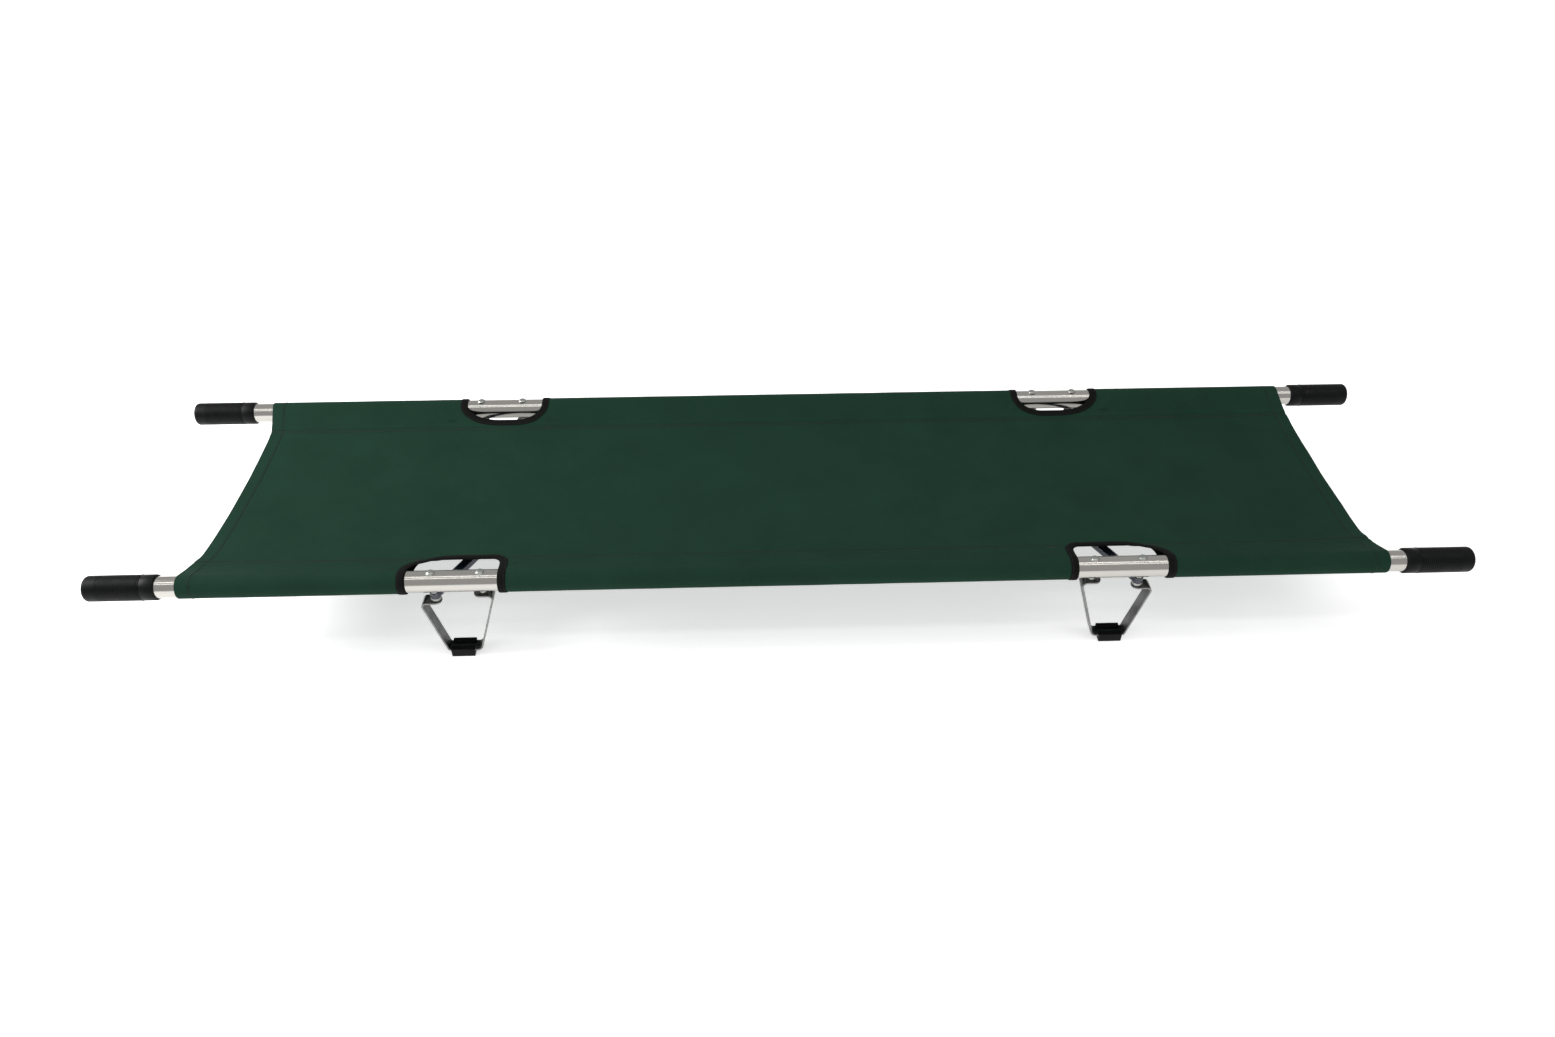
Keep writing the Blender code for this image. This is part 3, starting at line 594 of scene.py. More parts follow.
def grip_rings():
    """From the bore's closed end out of the mouth and along the outside to the closed end."""
    bore = TUBE_RADIUS + GAP
    end = GRIP_LENGTH
    inside = end - GRIP_END_WALL
    rings = [(inside, 0.001), (inside, bore), (0, bore), (0, GRIP_RADIUS - 0.0010),
             (0.0004, GRIP_RADIUS - 0.0004), (0.0012, GRIP_RADIUS), (GRIP_COLLAR - 0.0006, GRIP_RADIUS),
             (GRIP_COLLAR, GRIP_RADIUS - GRIP_GROOVE), (GRIP_COLLAR + 0.0004, GRIP_RADIUS + 0.0003),
             (GRIP_COLLAR + 0.0011, GRIP_RADIUS + 0.0005), (GRIP_COLLAR + 0.0018, GRIP_RADIUS + 0.0003),
             (GRIP_COLLAR + 0.0022, GRIP_RADIUS - GRIP_GROOVE)]
    along = GRIP_COLLAR + 0.0028
    while along < end - GRIP_PLAIN - GRIP_PITCH:
        rings += [(along, GRIP_RADIUS), (along + 0.55 * GRIP_PITCH, GRIP_RADIUS),
                  (along + 0.68 * GRIP_PITCH, GRIP_RADIUS - GRIP_GROOVE),
                  (along + 0.88 * GRIP_PITCH, GRIP_RADIUS - GRIP_GROOVE)]
        along += GRIP_PITCH
    rings.append((along, GRIP_RADIUS))
    for step in range(9):
        angle = math.pi / 2 * step / 8
        rings.append((end - GRIP_ROUND + GRIP_ROUND * math.sin(angle),
                      GRIP_RADIUS - GRIP_ROUND + GRIP_ROUND * math.cos(angle)))
    rings.append((end - 0.0004, 0.004))
    return rings


def build_grips():
    model = pushed_rings("grip", grip_rings(), facets=64)
    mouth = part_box("grip_far_right")[0].x
    to_corners(model, "ringed_grip", "grip", mouth, AXIS_HEIGHT, True, "grip_rubber", GRIP_RUBBER)


# ---------------------------------------------------------------- bolts, nuts and rings

def bolt_model(node):
    """From the thread's end up to the top of the domed head."""
    low, high = heights_of(node)
    head, seat = BOLT_HEAD_RADIUS, high - BOLT_HEAD_HEIGHT
    rings = [(low, 0.0022)]
    for turn in range(3):
        rings += [(low + 0.0003 + turn * 0.0008, BOLT_RADIUS), (low + 0.0007 + turn * 0.0008, 0.0026)]
    rings += [(low + 0.0032, BOLT_RADIUS), (seat - 0.0002, BOLT_RADIUS), (seat - 0.0010, head - 0.0004),
              (seat - 0.0008, head)]
    for step in range(1, 10):
        angle = math.pi / 2 * step / 10
        rings.append((seat + BOLT_HEAD_HEIGHT * math.sin(angle), head * math.cos(angle)))
    rings.append((high, 0.0004))
    return pushed_rings("bolt", rings, 40, upright=True)


def ring_model(node, radius, edge):
    """A ring round a bolt, with rounded outer edges."""
    low, high = heights_of(node)
    rings = [(low, RING_BORE), (low, radius - edge), (low + edge * 0.3, radius - edge * 0.3),
             (low + edge, radius), (high - edge, radius), (high - edge * 0.3, radius - edge * 0.3),
             (high, radius - edge), (high, RING_BORE), (low, RING_BORE)]
    return pushed_rings("ring", rings, 40, hollow=True, upright=True)


def nut_model(node):
    low, high = heights_of(node)
    deselect_all()
    bpy.ops.mesh.primitive_cylinder_add(vertices=6, radius=NUT_ACROSS_FLATS / math.sqrt(3),
                                        depth=high - low, location=(0, 0, (low + high) / 2))
    nut = named("nut")
    settle(nut)
    edit(nut)
    choose(nut, "FACE", lambda face: abs(face.normal.z) > 0.9)
    bpy.ops.mesh.inset(thickness=0.0008, depth=0.0)
    bpy.ops.mesh.inset(thickness=0.0006, depth=-0.0003)
    bpy.ops.object.mode_set(mode="OBJECT")
    round_edges(nut, 0.0004, 2, 30)
    return nut


def build_fasteners():
    kinds = (("pivot_bolt", PIVOT_X, bolt_model, ()), ("foot_bolt", FOOT_X, bolt_model, ()),
             ("pivot_collar", PIVOT_X, ring_model, (0.0065, 0.0008)),
             ("pivot_washer", PIVOT_X, ring_model, (0.0085, 0.0014)),
             ("foot_spacer", FOOT_X, ring_model, (0.0065, 0.0010)),
             ("pivot_nut", PIVOT_X, nut_model, ()), ("foot_nut", FOOT_X, nut_model, ()))
    for kind, distance, make, sizes in kinds:
        model = make(f"{kind}_far_right", *sizes)
        to_corners(model, f"zinc_{kind}", kind, distance, 0, False, "zinc_steel", BRIGHT_ZINC)


# ---------------------------------------------------------------- feet and pads

def bent_path(corners, radii, facets=10):
    """A path in (x, z) through corners, each rounded with its own radius."""
    path = [corners[0]]
    for before, corner, after, radius in zip(corners, corners[1:], corners[2:], radii):
        back = (Vector(before) - Vector(corner)).normalized()
        onward = (Vector(after) - Vector(corner)).normalized()
        half = back.angle(onward) / 2
        centre = Vector(corner) + (back + onward).normalized() * (radius / math.sin(half))
        first = Vector(corner) + back * (radius / math.tan(half)) - centre
        last = Vector(corner) + onward * (radius / math.tan(half)) - centre
        sweep = first.angle_signed(last)
        for step in range(facets + 1):
            spoke = first.copy()
            spoke.rotate(Matrix.Rotation(-sweep * step / facets, 2))
            path.append(tuple(centre + spoke))
    path.append(corners[-1])
    return path


def strap_path():
    """The strap's middle line in (x, z) from the pivot bolt: flange, leg, sole, leg, flange."""
    half = STRAP_THICK / 2
    outer = AXIS_HEIGHT + OUTER_FLANGE_TOP - half
    inner = AXIS_HEIGHT + INNER_FLANGE_TOP - half
    sole = STRAP_SOLE + half
    corners = [(-0.0090, outer), (0.0240, outer), (-0.0040, sole), (0.0200 - BOLT_SPACING, sole),
               (-0.0165 - BOLT_SPACING, inner), (0.0155 - BOLT_SPACING, inner)]
    return bent_path(corners, [0.0065, 0.0045, 0.0100, 0.0070])


def strap_model():
    """A flat strip pushed round its bends, its free ends rounded, then given its thickness, with a painted
    highlight on its side faces.
    """
    path = strap_path()
    (start_x, start_z), (next_x, _) = path[0], path[1]
    half = STRAP_WIDTH / 2
    deselect_all()
    bpy.ops.mesh.primitive_plane_add(size=1, location=((start_x + next_x) / 2, 0, start_z))
    strap = named("strap")
    strap.scale = (next_x - start_x, STRAP_WIDTH, 1)
    settle(strap)
    edit(strap)
    choose(strap, "EDGE", lambda edge: abs(edge_middle(edge).x - next_x) < 1e-5)
    for (x, z), (to_x, to_z) in zip(path[1:], path[2:]):
        bpy.ops.mesh.extrude_region_move(TRANSFORM_OT_translate={"value": (to_x - x, 0, to_z - z)})
    for end_x, end_z in (path[0], path[-1]):
        choose(strap, "VERT", lambda vert: (vert.co - Vector((end_x, vert.co.y, end_z))).length < 1e-5)
        bpy.ops.mesh.bevel(offset=half * 0.97, segments=10, affect="VERTICES", clamp_overlap=False)
    bpy.ops.object.mode_set(mode="OBJECT")
    close_up(strap)
    apply_modifier(strap, "SOLIDIFY", thickness=STRAP_THICK, offset=0, use_even_offset=True)
    # The strip's side faces take the lighter copy of the zinc: a painted highlight.
    edit(strap)
    choose(strap, "FACE", lambda face: abs(face.normal.y) > 0.7)
    strap.data.materials.append(ZINC)
    strap.data.materials.append(STRAP_SIDE_HIGHLIGHT)
    strap.active_material_index = 1
    bpy.ops.object.material_slot_assign()
    bpy.ops.object.mode_set(mode="OBJECT")
    round_edges(strap, 0.0004, 3, 50, finish_slot=0)
    return strap


def pad_model():
    """A rubber channel: a sole with walls pushed up from it and lips pushed in over the strap."""
    low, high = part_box("foot_pad_far_right")
    middle = (low.x + high.x) / 2
    reach, half = (high.x - low.x) / 2, (high.y - low.y) / 2
    inside, slot = half - PAD_WALL, PAD_SLOT / 2
    top, shelf = STRAP_SOLE - GAP, STRAP_SOLE + STRAP_THICK + GAP
    pad = block("pad", (-reach, -half, 0), (reach, half, top))
    edit(pad)
    for y in (-inside, inside):
        bpy.ops.mesh.select_all(action="SELECT")
        bpy.ops.mesh.bisect(plane_co=(0, y, 0), plane_no=(0, 1, 0))
    choose(pad, "FACE", lambda face: face.normal.z > 0.9 and abs(face.calc_center_median().y) > inside)
    bpy.ops.mesh.extrude_region_move(TRANSFORM_OT_translate={"value": (0, 0, shelf - top)})
    bpy.ops.mesh.extrude_region_move(TRANSFORM_OT_translate={"value": (0, 0, high.z - shelf)})
    for sign in (-1, 1):
        choose(pad, "FACE", lambda face: face.normal.y * sign < -0.9 and face.calc_center_median().z > shelf
               and face.calc_center_median().y * sign > 0)
        bpy.ops.mesh.extrude_region_move(TRANSFORM_OT_translate={"value": (0, sign * (slot - inside), 0)})
    close_up(pad)
    round_edges(pad, 0.0007, 3)
    return pad, middle


def build_feet():
    pad, pad_x = pad_model()
    to_corners(strap_model(), "strap_foot", "foot", PIVOT_X, 0, True, "zinc_steel", ZINC, STRAP_SIDE_HIGHLIGHT)
    to_corners(pad, "rubber_pad", "foot_pad", pad_x, 0, True, "pad_rubber", PAD_RUBBER)


# ---------------------------------------------------------------- spreader arms

def arm_model(lower_tongue):
    """A channel along +X from the pivot: a bar with rounded ends, hollowed, with half its height
    sawn off at the elbow."""
    half = ARM_WIDTH / 2
    arm = block("arm", (-half, -half, -ARM_HEIGHT), (ARM_LENGTH + half, half, 0))
    edit(arm)
    choose(arm, "EDGE", lambda edge: abs(edge.verts[0].co.z - edge.verts[1].co.z) > ARM_HEIGHT / 2)
    bpy.ops.mesh.bevel(offset=half * 0.98, segments=12, affect="EDGES", clamp_overlap=False)
    bpy.ops.object.mode_set(mode="OBJECT")
    close_up(arm)
    lap = ARM_LENGTH - ARM_LAP
    cut_box(arm, (ARM_EYE, -half + ARM_WALL, -ARM_HEIGHT + ARM_WALL), (lap - ARM_WALL, half - ARM_WALL, half))
    low, high = (ARM_TONGUE - ARM_HEIGHT, half) if lower_tongue else (-2 * ARM_HEIGHT, -ARM_TONGUE)
    cut_box(arm, (lap, -ARM_WIDTH, low), (ARM_LENGTH + ARM_WIDTH, ARM_WIDTH, high))
    paint(arm, PAINT, ARM_EDGE_HIGHLIGHT)
    # The rounded edges take the bright metal finish: a painted highlight along the arm's edges.
    round_edges(arm, 0.00045, 2, 35, finish_slot=1)
    return arm


def rivet_model():
    low, high = heights_of("elbow_rivet_right")
    head, thick = RIVET_HEAD_RADIUS, RIVET_HEAD_HEIGHT
    rings = [(low, 0.0020), (low + 0.0004, head - 0.0014), (low + 0.0011, head - 0.0002), (low + thick, head),
             (low + thick, 0.0031), (high - thick, 0.0031), (high - thick, head),
             (high - 0.0011, head - 0.0002), (high - 0.0004, head - 0.0014), (high, 0.0020)]
    return pushed_rings("rivet", rings, 40, upright=True)


def build_arms():
    models = {"near": arm_model(True), "far": arm_model(False)}
    rivet = rivet_model()
    for end, direction in ENDS:
        for side, sign in SIDES:
            heading = math.atan2(-sign * math.cos(ARM_TURN), -direction * math.sin(ARM_TURN))
            where = (direction * PIVOT_X, sign * HALF_SPACING, AXIS_HEIGHT + ARM_TOP)
            arm = copied(models[side], f"channel_arm_{side}_{end}", where, heading)
            finished(arm, f"spreader_arm_{side}_{end}", "arm_paint", PAINT, ARM_EDGE_HIGHLIGHT)
        pin = copied(rivet, f"zinc_rivet_{end}", (direction * ELBOW_X, 0, 0))
        finished(pin, f"elbow_rivet_{end}", "zinc_steel", BRIGHT_ZINC)
    discard(rivet, *models.values())


# ---------------------------------------------------------------- the canvas's shape

def deck_height(y):
    """The canvas's middle, above the pole axis: a parabola between the seams."""
    return DECK_MIDDLE + (-SEAM_DROP - DECK_MIDDLE) * (y / SEAM_Y) ** 2 + DECK_LIFT


def sleeve_line():
    """The sleeve's section, from the deck's edge over the pole and back below it, closely sampled:
    length along the cloth, distance from the pole axis, height above it."""
    seam = np.array((SEAM_OFFSET, -SEAM_DROP))
    upper, lower = seam + (0, DECK_LIFT), seam - (0, DECK_LIFT)
    spread = math.acos(SLEEVE_RADIUS / float(np.hypot(*seam)))
    towards = math.atan2(-SEAM_DROP, SEAM_OFFSET)
    angles = np.linspace(towards + spread, towards - spread + 2 * math.pi, 181)
    loop = SLEEVE_RADIUS * np.stack([np.cos(angles), np.sin(angles)], 1)
    edge = np.linspace(SLEEVE_EDGE, SEAM_OFFSET, 12)
    top = np.stack([edge, deck_height(HALF_SPACING - edge)], 1)
    bottom = top[::-1] - (0, 2 * DECK_LIFT)
    line = np.concatenate([top[:-1], np.linspace(upper, loop[0], 40)[:-1], loop,
                           np.linspace(loop[-1], lower, 40)[1:], bottom[1:]])
    length = np.concatenate([[0], np.cumsum(np.linalg.norm(np.diff(line, axis=0), axis=1))])
    return length, line[:, 0], line[:, 1]


LINE_LENGTH, LINE_ACROSS, LINE_UP = sleeve_line()
OUTERMOST = int(np.argmin(LINE_ACROSS))         # where the line turns back below the pole
SLEEVE_CUT = float(LINE_LENGTH[-1])


def cloth_length(across, below=False):
    """Length along the sleeve's section to a distance from the pole axis, above or below the pole."""
    if below:
        return np.interp(across, LINE_ACROSS[OUTERMOST:], LINE_LENGTH[OUTERMOST:])
    return np.interp(across, LINE_ACROSS[OUTERMOST::-1], LINE_LENGTH[OUTERMOST::-1])


def across_at(length):
    """Distance from the pole axis at a length along the sleeve's section."""
    return np.interp(length, LINE_LENGTH, LINE_ACROSS)


def canvas_end(end, y):
    """How far the canvas reaches along X at a place across the cot."""
    places, reaches = zip(*CANVAS_REACH[end])
    return np.interp(y, places, reaches)


def to_canvas_end(x, y):
    """From a place on the canvas to the end that it is nearer to."""
    return np.where(x < 0, canvas_end("left", y), canvas_end("right", y)) - np.abs(x)


def cutout_sides(side, across, below=False):
    """Inner and outer side of a cut-out at a distance from the pole axis, up to its depth."""
    deep = CUTOUT_DEPTH[side]
    sweep, rise = (UNDER_CORNER if below else OUTER_CORNER)[side]
    inner_sweep, inner_rise = INNER_CORNER[side]
    turn = np.clip((across - (deep - rise)) / rise, 0, 1)
    outer = CUTOUT_OUT[side] - sweep * (1 - np.sqrt(1 - turn ** 2))
    turn = np.clip((across - (deep - inner_rise)) / inner_rise, 0, 1)
    inner = CUTOUT_IN[side] + inner_sweep * (1 - np.sqrt(1 - turn ** 2))
    return inner + CUTOUT_LEAN[side] * np.clip(across / deep, 0, 1) ** 1.5, outer


def columns(side, inner, outer, left, right):
    """Places along X that keep to the hems and a pole's cut-outs, from the left end to the right end."""
    shift = CUTOUT_SHIFT[side]
    near_hem, past_hem = HEM - 0.004, HEM + 0.004
    places = [-left, near_hem - left, past_hem - left, shift - outer, shift - inner, shift + inner,
              shift + outer, right - past_hem, right - near_hem, right]
    spans = [np.linspace(a, b, count + 1)[1:] for a, b, count in zip(places, places[1:], COLUMN_COUNTS)]
    return np.concatenate([[-left]] + spans)


def open_columns():
    """The columns that the cut-outs take up."""
    left, right = sum(COLUMN_COUNTS[:3]), sum(COLUMN_COUNTS[:5])
    return {*range(left, left + COLUMN_COUNTS[3]), *range(right, right + COLUMN_COUNTS[5])}


def bell(value, width):
    return np.exp(-(value / width) ** 2)


def waves(x, y, size, seed):
    """Soft unevenness from smooth noise, about -1 to 1."""
    flat_x, flat_y = np.ravel(x) / size, np.ravel(y) / size
    found = [noise.noise(Vector((a, b, seed))) for a, b in zip(flat_x, flat_y)]
    return np.reshape(found, np.shape(x))


def ripple(x, y):
    """Height of the canvas's folds and puckers where it is free of the pole; y is across the cot."""
    inward = HALF_SPACING - np.abs(y)
    to_end = to_canvas_end(x, y)
    # Slack in the cloth, coarse to fine
    lift = 0.0007 * waves(x, y * 2.2, 0.16, 3.0) + 0.00035 * waves(x, y * 1.6, 0.05, 7.0)
    lift += 0.00018 * waves(x, y, 0.016, 11.0)
    # The seam's groove with the fullness beside it, and the hem's
    lift -= 0.00045 * bell(inward - SEAM_OFFSET, 0.0018)
    lift += 0.00060 * bell(inward - SEAM_OFFSET + 0.0045, 0.0030)
    lift -= 0.00035 * bell(to_end - HEM, 0.0014)
    lift += 0.00030 * bell(to_end - HEM / 2, 0.0080)
    # A fold in each corner of the canvas, which runs off towards the pole
    height = np.where(y < 0, 0.0034, 0.0014)
    lift += height * bell(inward - 0.064 + 0.10 * np.clip(to_end, 0, 0.2), 0.015) * bell(to_end, 0.10)
    # A crease slanting away from each side of a near cut-out
    slant = np.abs(x) - CUTOUT_OUT["near"] - 0.012 - 0.9 * (0.040 - inward)
    lift += 0.0014 * bell(slant, 0.005) * bell(inward - 0.030, 0.016)
    slant = CUTOUT_IN["near"] - 0.010 - np.abs(x) - 0.8 * (inward - 0.030)
    lift += 0.0012 * bell(slant, 0.006) * bell(inward - 0.034, 0.014)
    return lift


def sleeve_lift(x, length, side):
    """Ripple of the sleeve's cloth: free between pole and seam, nearly flat round the pole."""
    across = across_at(length)
    y = SIGN[side] * (HALF_SPACING - across)
    lift = ripple(x, y)
    free = np.clip((across - 0.004) / 0.022, 0, 1)
    below = length > LINE_LENGTH[OUTERMOST]
    lift = np.where(below, -0.7 * lift, lift)
    hem = bell(to_canvas_end(x, y) - HEM, 0.0014)
    wrap = WRAP_SLACK * (1 + waves(x, length, 0.05, 5.0)) - WRAP_SLACK * hem
    return lift * free + np.maximum(wrap, 0) * (1 - free)


def on_sleeve(side, x, length, lift=0.0):
    """Points of the sleeve's cloth: place along X, length along the section, lift off the cloth."""
    length = np.asarray(length, float)
    across = across_at(length)
    up = np.interp(length, LINE_LENGTH, LINE_UP)
    step = 0.0004
    ahead, behind = np.clip(length + step, 0, SLEEVE_CUT), np.clip(length - step, 0, SLEEVE_CUT)
    run = across_at(ahead) - across_at(behind)
    climb = np.interp(ahead, LINE_LENGTH, LINE_UP) - np.interp(behind, LINE_LENGTH, LINE_UP)
    size = np.hypot(run, climb)
    raised = sleeve_lift(x, length, side) + lift
    across = across + climb / size * raised
    up = up - run / size * raised
    return np.stack([x + 0 * across, SIGN[side] * (HALF_SPACING - across), AXIS_HEIGHT + up], -1)


def deck_surface(x, y, lift=0.0):
    """Points of the deck's cloth."""
    raised = ripple(x, y) + lift
    return np.stack([x, y + 0 * x, AXIS_HEIGHT + deck_height(y) + raised], -1)


# ---------------------------------------------------------------- canvas pieces

def cloth_piece(name, points, faces, uvs):
    """A sheet from points and quads, mapped in metres."""
    mesh = bpy.data.meshes.new(name)
    mesh.from_pydata([tuple(p) for p in points], [], faces)
    layer = mesh.uv_layers.new(name="cloth")
    corners = np.zeros(len(mesh.loops), np.int32)
    mesh.loops.foreach_get("vertex_index", corners)
    layer.data.foreach_set("uv", np.asarray(uvs, np.float32)[corners].ravel())
    piece = bpy.data.objects.new(name, mesh)
    bpy.context.scene.collection.objects.link(piece)
    return piece


def net(rows, count):
    """Quads of a net with this many rows and columns."""
    return [(r * count + c, r * count + c + 1, (r + 1) * count + c + 1, (r + 1) * count + c)
            for r in range(rows - 1) for c in range(count - 1)]


def thicken(piece, thickness):
    apply_modifier(piece, "SOLIDIFY", thickness=thickness, offset=0, use_even_offset=True)
    smooth(piece, 50)


def deck_cloth(name, stations, lift=0.0):
    """A sheet from sleeve to sleeve; stations(y) gives its places along X."""
    places = np.linspace(-DECK_HALF, DECK_HALF, DECK_ROWS)
    points, uvs = [], []
    for y in places:
        x = stations(y)
        points.append(deck_surface(x, np.full_like(x, y), lift))
        uvs.append(np.stack([x, np.full_like(x, y)], 1))
    return cloth_piece(name, np.concatenate(points), net(len(places), len(x)), np.concatenate(uvs))


def deck_columns(y):
    """Places along X for the deck's net."""
    return columns("near", *DECK_BREAKS, float(canvas_end("left", y)), float(canvas_end("right", y)))


def build_deck():
    """The deck between the two sleeves."""
    deck = deck_cloth("canvas_deck", deck_columns)
    thicken(deck, FABRIC)
    return finished(deck, "deck", "green_canvas", CANVAS)


def sleeve_rows(side):
    """Lengths along the sleeve's section that keep to the depth of its cut-outs."""
    turns = np.linspace(0, math.pi / 2, 19)
    rise = OUTER_CORNER[side][1]
    deep = CUTOUT_DEPTH[side] - rise + rise * np.sin(turns)
    past = np.linspace(CUTOUT_DEPTH[side], SLEEVE_EDGE, ROWS_PAST_CUTOUT[side])[1:]
    upper = cloth_length(np.concatenate([past[::-1], deep[::-1]]))
    lower = cloth_length(np.concatenate([deep, past]), below=True)
    upper[0], lower[-1] = 0.0, SLEEVE_CUT
    round_pole = np.linspace(upper[-1], lower[0], 42)[1:-1]
    return np.concatenate([upper, round_pole, lower])


def build_sleeve(side, sign):
    """The canvas round a pole, with the quads that its two cut-outs cross left out."""
    rows = sleeve_rows(side)
    across = across_at(rows)
    points, uvs = [], []
    for length, d in zip(rows, across):
        below = length > LINE_LENGTH[OUTERMOST]
        inner, outer = cutout_sides(side, np.array(min(d, CUTOUT_DEPTH[side])), below)
        y = sign * (HALF_SPACING - max(d, 0))
        left, right = float(canvas_end("left", y)), float(canvas_end("right", y))
        x = columns(side, float(inner), float(outer), left, right)
        points.append(on_sleeve(side, x, np.full_like(x, length)))
        uvs.append(np.stack([x, np.full_like(x, sign * (DECK_HALF + length))], 1))
    count = len(points[0])
    opened = open_columns()
    kept = []
    for index, face in enumerate(net(len(rows), count)):
        row, column = divmod(index, count - 1)
        crosses = max(across[row], across[row + 1]) <= CUTOUT_DEPTH[side] + 1e-6
        if not (crosses and column in opened):
            kept.append(face if sign > 0 else face[::-1])
    sleeve = cloth_piece(f"canvas_sleeve_{side}", np.concatenate(points), kept, np.concatenate(uvs))
    edit(sleeve)
    bpy.ops.mesh.select_all(action="SELECT")
    bpy.ops.mesh.delete_loose(use_verts=True, use_edges=True, use_faces=False)
    bpy.ops.object.mode_set(mode="OBJECT")
    thicken(sleeve, FABRIC)
    return finished(sleeve, f"sleeve_{side}", "green_canvas", CANVAS)


def cutout_loop(side, direction):
    """A cut-out's edge on the flat cloth, as (x, length) stations round the whole opening, above
    and below the pole, with the way away from the opening at each."""
    deep = CUTOUT_DEPTH[side]
    spread = np.sin(np.linspace(0, math.pi / 2, 26))
    halves = []
    for below in (False, True):
        rises = (INNER_CORNER[side][1], (UNDER_CORNER if below else OUTER_CORNER)[side][1])
        inner_depth, outer_depth = (np.concatenate([np.linspace(0, deep - rise, 8)[:-1],
                                                    deep + rise * (spread - 1)]) for rise in rises)
        inner = cutout_sides(side, inner_depth, below)[0]
        outer = cutout_sides(side, outer_depth, below)[1]
        flat = np.linspace(inner[-1], outer[-1], 18)[1:-1]
        depth = np.concatenate([inner_depth, np.full(len(flat), deep), outer_depth[::-1]])
        halves.append((np.concatenate([inner, flat, outer[::-1]]), cloth_length(depth, below)))
    upper, lower = halves[0], [part[::-1] for part in halves[1]]
    beyond = np.linspace(upper[1][-1], lower[1][0], 26)[1:-1]
    back = np.linspace(lower[1][-1], upper[1][0], 26)[1:-1]
    x = np.concatenate([upper[0], np.full(len(beyond), upper[0][-1]), lower[0],
                        np.full(len(back), upper[0][0])])
    length = np.concatenate([upper[1], beyond, lower[1], back])
    ahead = np.stack([np.roll(x, -1) - np.roll(x, 1), np.roll(length, -1) - np.roll(length, 1)], 1)
    ahead /= np.linalg.norm(ahead, axis=1)[:, None]
    away = np.stack([direction * ahead[:, 1], -ahead[:, 0]], 1)
    return CUTOUT_SHIFT[side] + direction * x, length, away


def tape_section():
    """The folded tape's section: (part of its width from the cut edge, a step beyond that, lift)."""
    face = FABRIC / 2
    top = face + TAPE_THICK
    inner = -face - TAPE_INSIDE
    return [(1, 0.0, face + 0.00003), (1, 0.0002, face + 0.0005), (1, -0.0004, top - 0.0001),
            (1, -0.0016, top), (1, -0.0024, top - 0.00025), (1, -0.0034, top + 0.00005),
            (0.4, 0.0, top + 0.0001), (0, 0.0012, top), (0, -0.0003, top - 0.0003), (0, -0.0010, face),
            (0, -0.0012, 0.0), (0, -0.0008, -face), (0, 0.0002, inner), (1, -0.002, inner),
            (1, -0.002, -face - 0.00003), (0, 0.0003, -face - 0.00003), (0, 0.0003, face + 0.00003)]


def tape_width(side, away):
    """Narrower where the near tape runs along its deep side, which has slipped in over the seam."""
    if side == "far":
        return np.full(len(away), TAPE_WIDTH)
    return TAPE_WIDTH - 0.0035 * np.abs(away[:, 1]) ** 3


def build_tape(side, sign, end, direction):
    """Binding folded over a cut-out's edge, right round the opening."""
    x, length, away = cutout_loop(side, direction)
    wide = tape_width(side, away)
    section = tape_section()
    points, uvs = [], []
    run = np.concatenate([[0], np.cumsum(np.hypot(np.diff(x), np.diff(length)))])
    for part, step, lift in section:
        place = wide * part + step
        at = np.clip(length + away[:, 1] * place, 0.0005, SLEEVE_CUT - 0.0005)
        points.append(on_sleeve(side, x + away[:, 0] * place, at, lift))
        uvs.append(np.stack([run, place], 1))
    count, rings = len(x), len(section)
    faces = []
    for ring in range(rings):
        for station in range(count):
            a, b = ring * count + station, ring * count + (station + 1) % count
            after = (ring + 1) % rings * count
            quad = (a, b, after + (station + 1) % count, after + station)
            faces.append(quad if sign * direction > 0 else quad[::-1])
    tape = cloth_piece(f"binding_{side}_{end}", np.concatenate(points), faces, np.concatenate(uvs))
    close_up(tape)
    smooth(tape, 60)
    return finished(tape, f"edge_tape_{side}_{end}", "black_tape", TAPE)


# ---------------------------------------------------------------- stitching

def stitch_model():
    """One stitch along X: a short six-sided thread that dips into the cloth at both ends."""
    rings = [(-0.5, 0.25), (-0.32, 0.85), (0.0, 1.0), (0.32, 0.85), (0.5, 0.25)]
    return pushed_rings("stitch", rings, facets=6)


def stitch_row(name, spots, thread, finish, body):
    """Stitches at (point, way along, way up) spots, all one piece."""
    model = stitch_model()
    shape = bmesh.new()
    length, thick = thread
    for point, along, up in spots:
        along = Vector(along).normalized()
        up = (Vector(up) - along * along.dot(Vector(up))).normalized()
        across = up.cross(along)
        before = len(shape.verts)
        shape.from_mesh(model.data)
        shape.verts.ensure_lookup_table()
        place = Matrix.Translation(Vector(point)) @ Matrix((along * length, across * thick, up * thick)
                                                          ).transposed().to_4x4()
        bmesh.ops.transform(shape, matrix=place, verts=shape.verts[before:])
    mesh = bpy.data.meshes.new(name)
    shape.to_mesh(mesh)
    shape.free()
    piece = bpy.data.objects.new(name, mesh)
    bpy.context.scene.collection.objects.link(piece)
    discard(model)
    smooth(piece, 60)
    paint(piece, finish)
    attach(piece, body)
    return piece


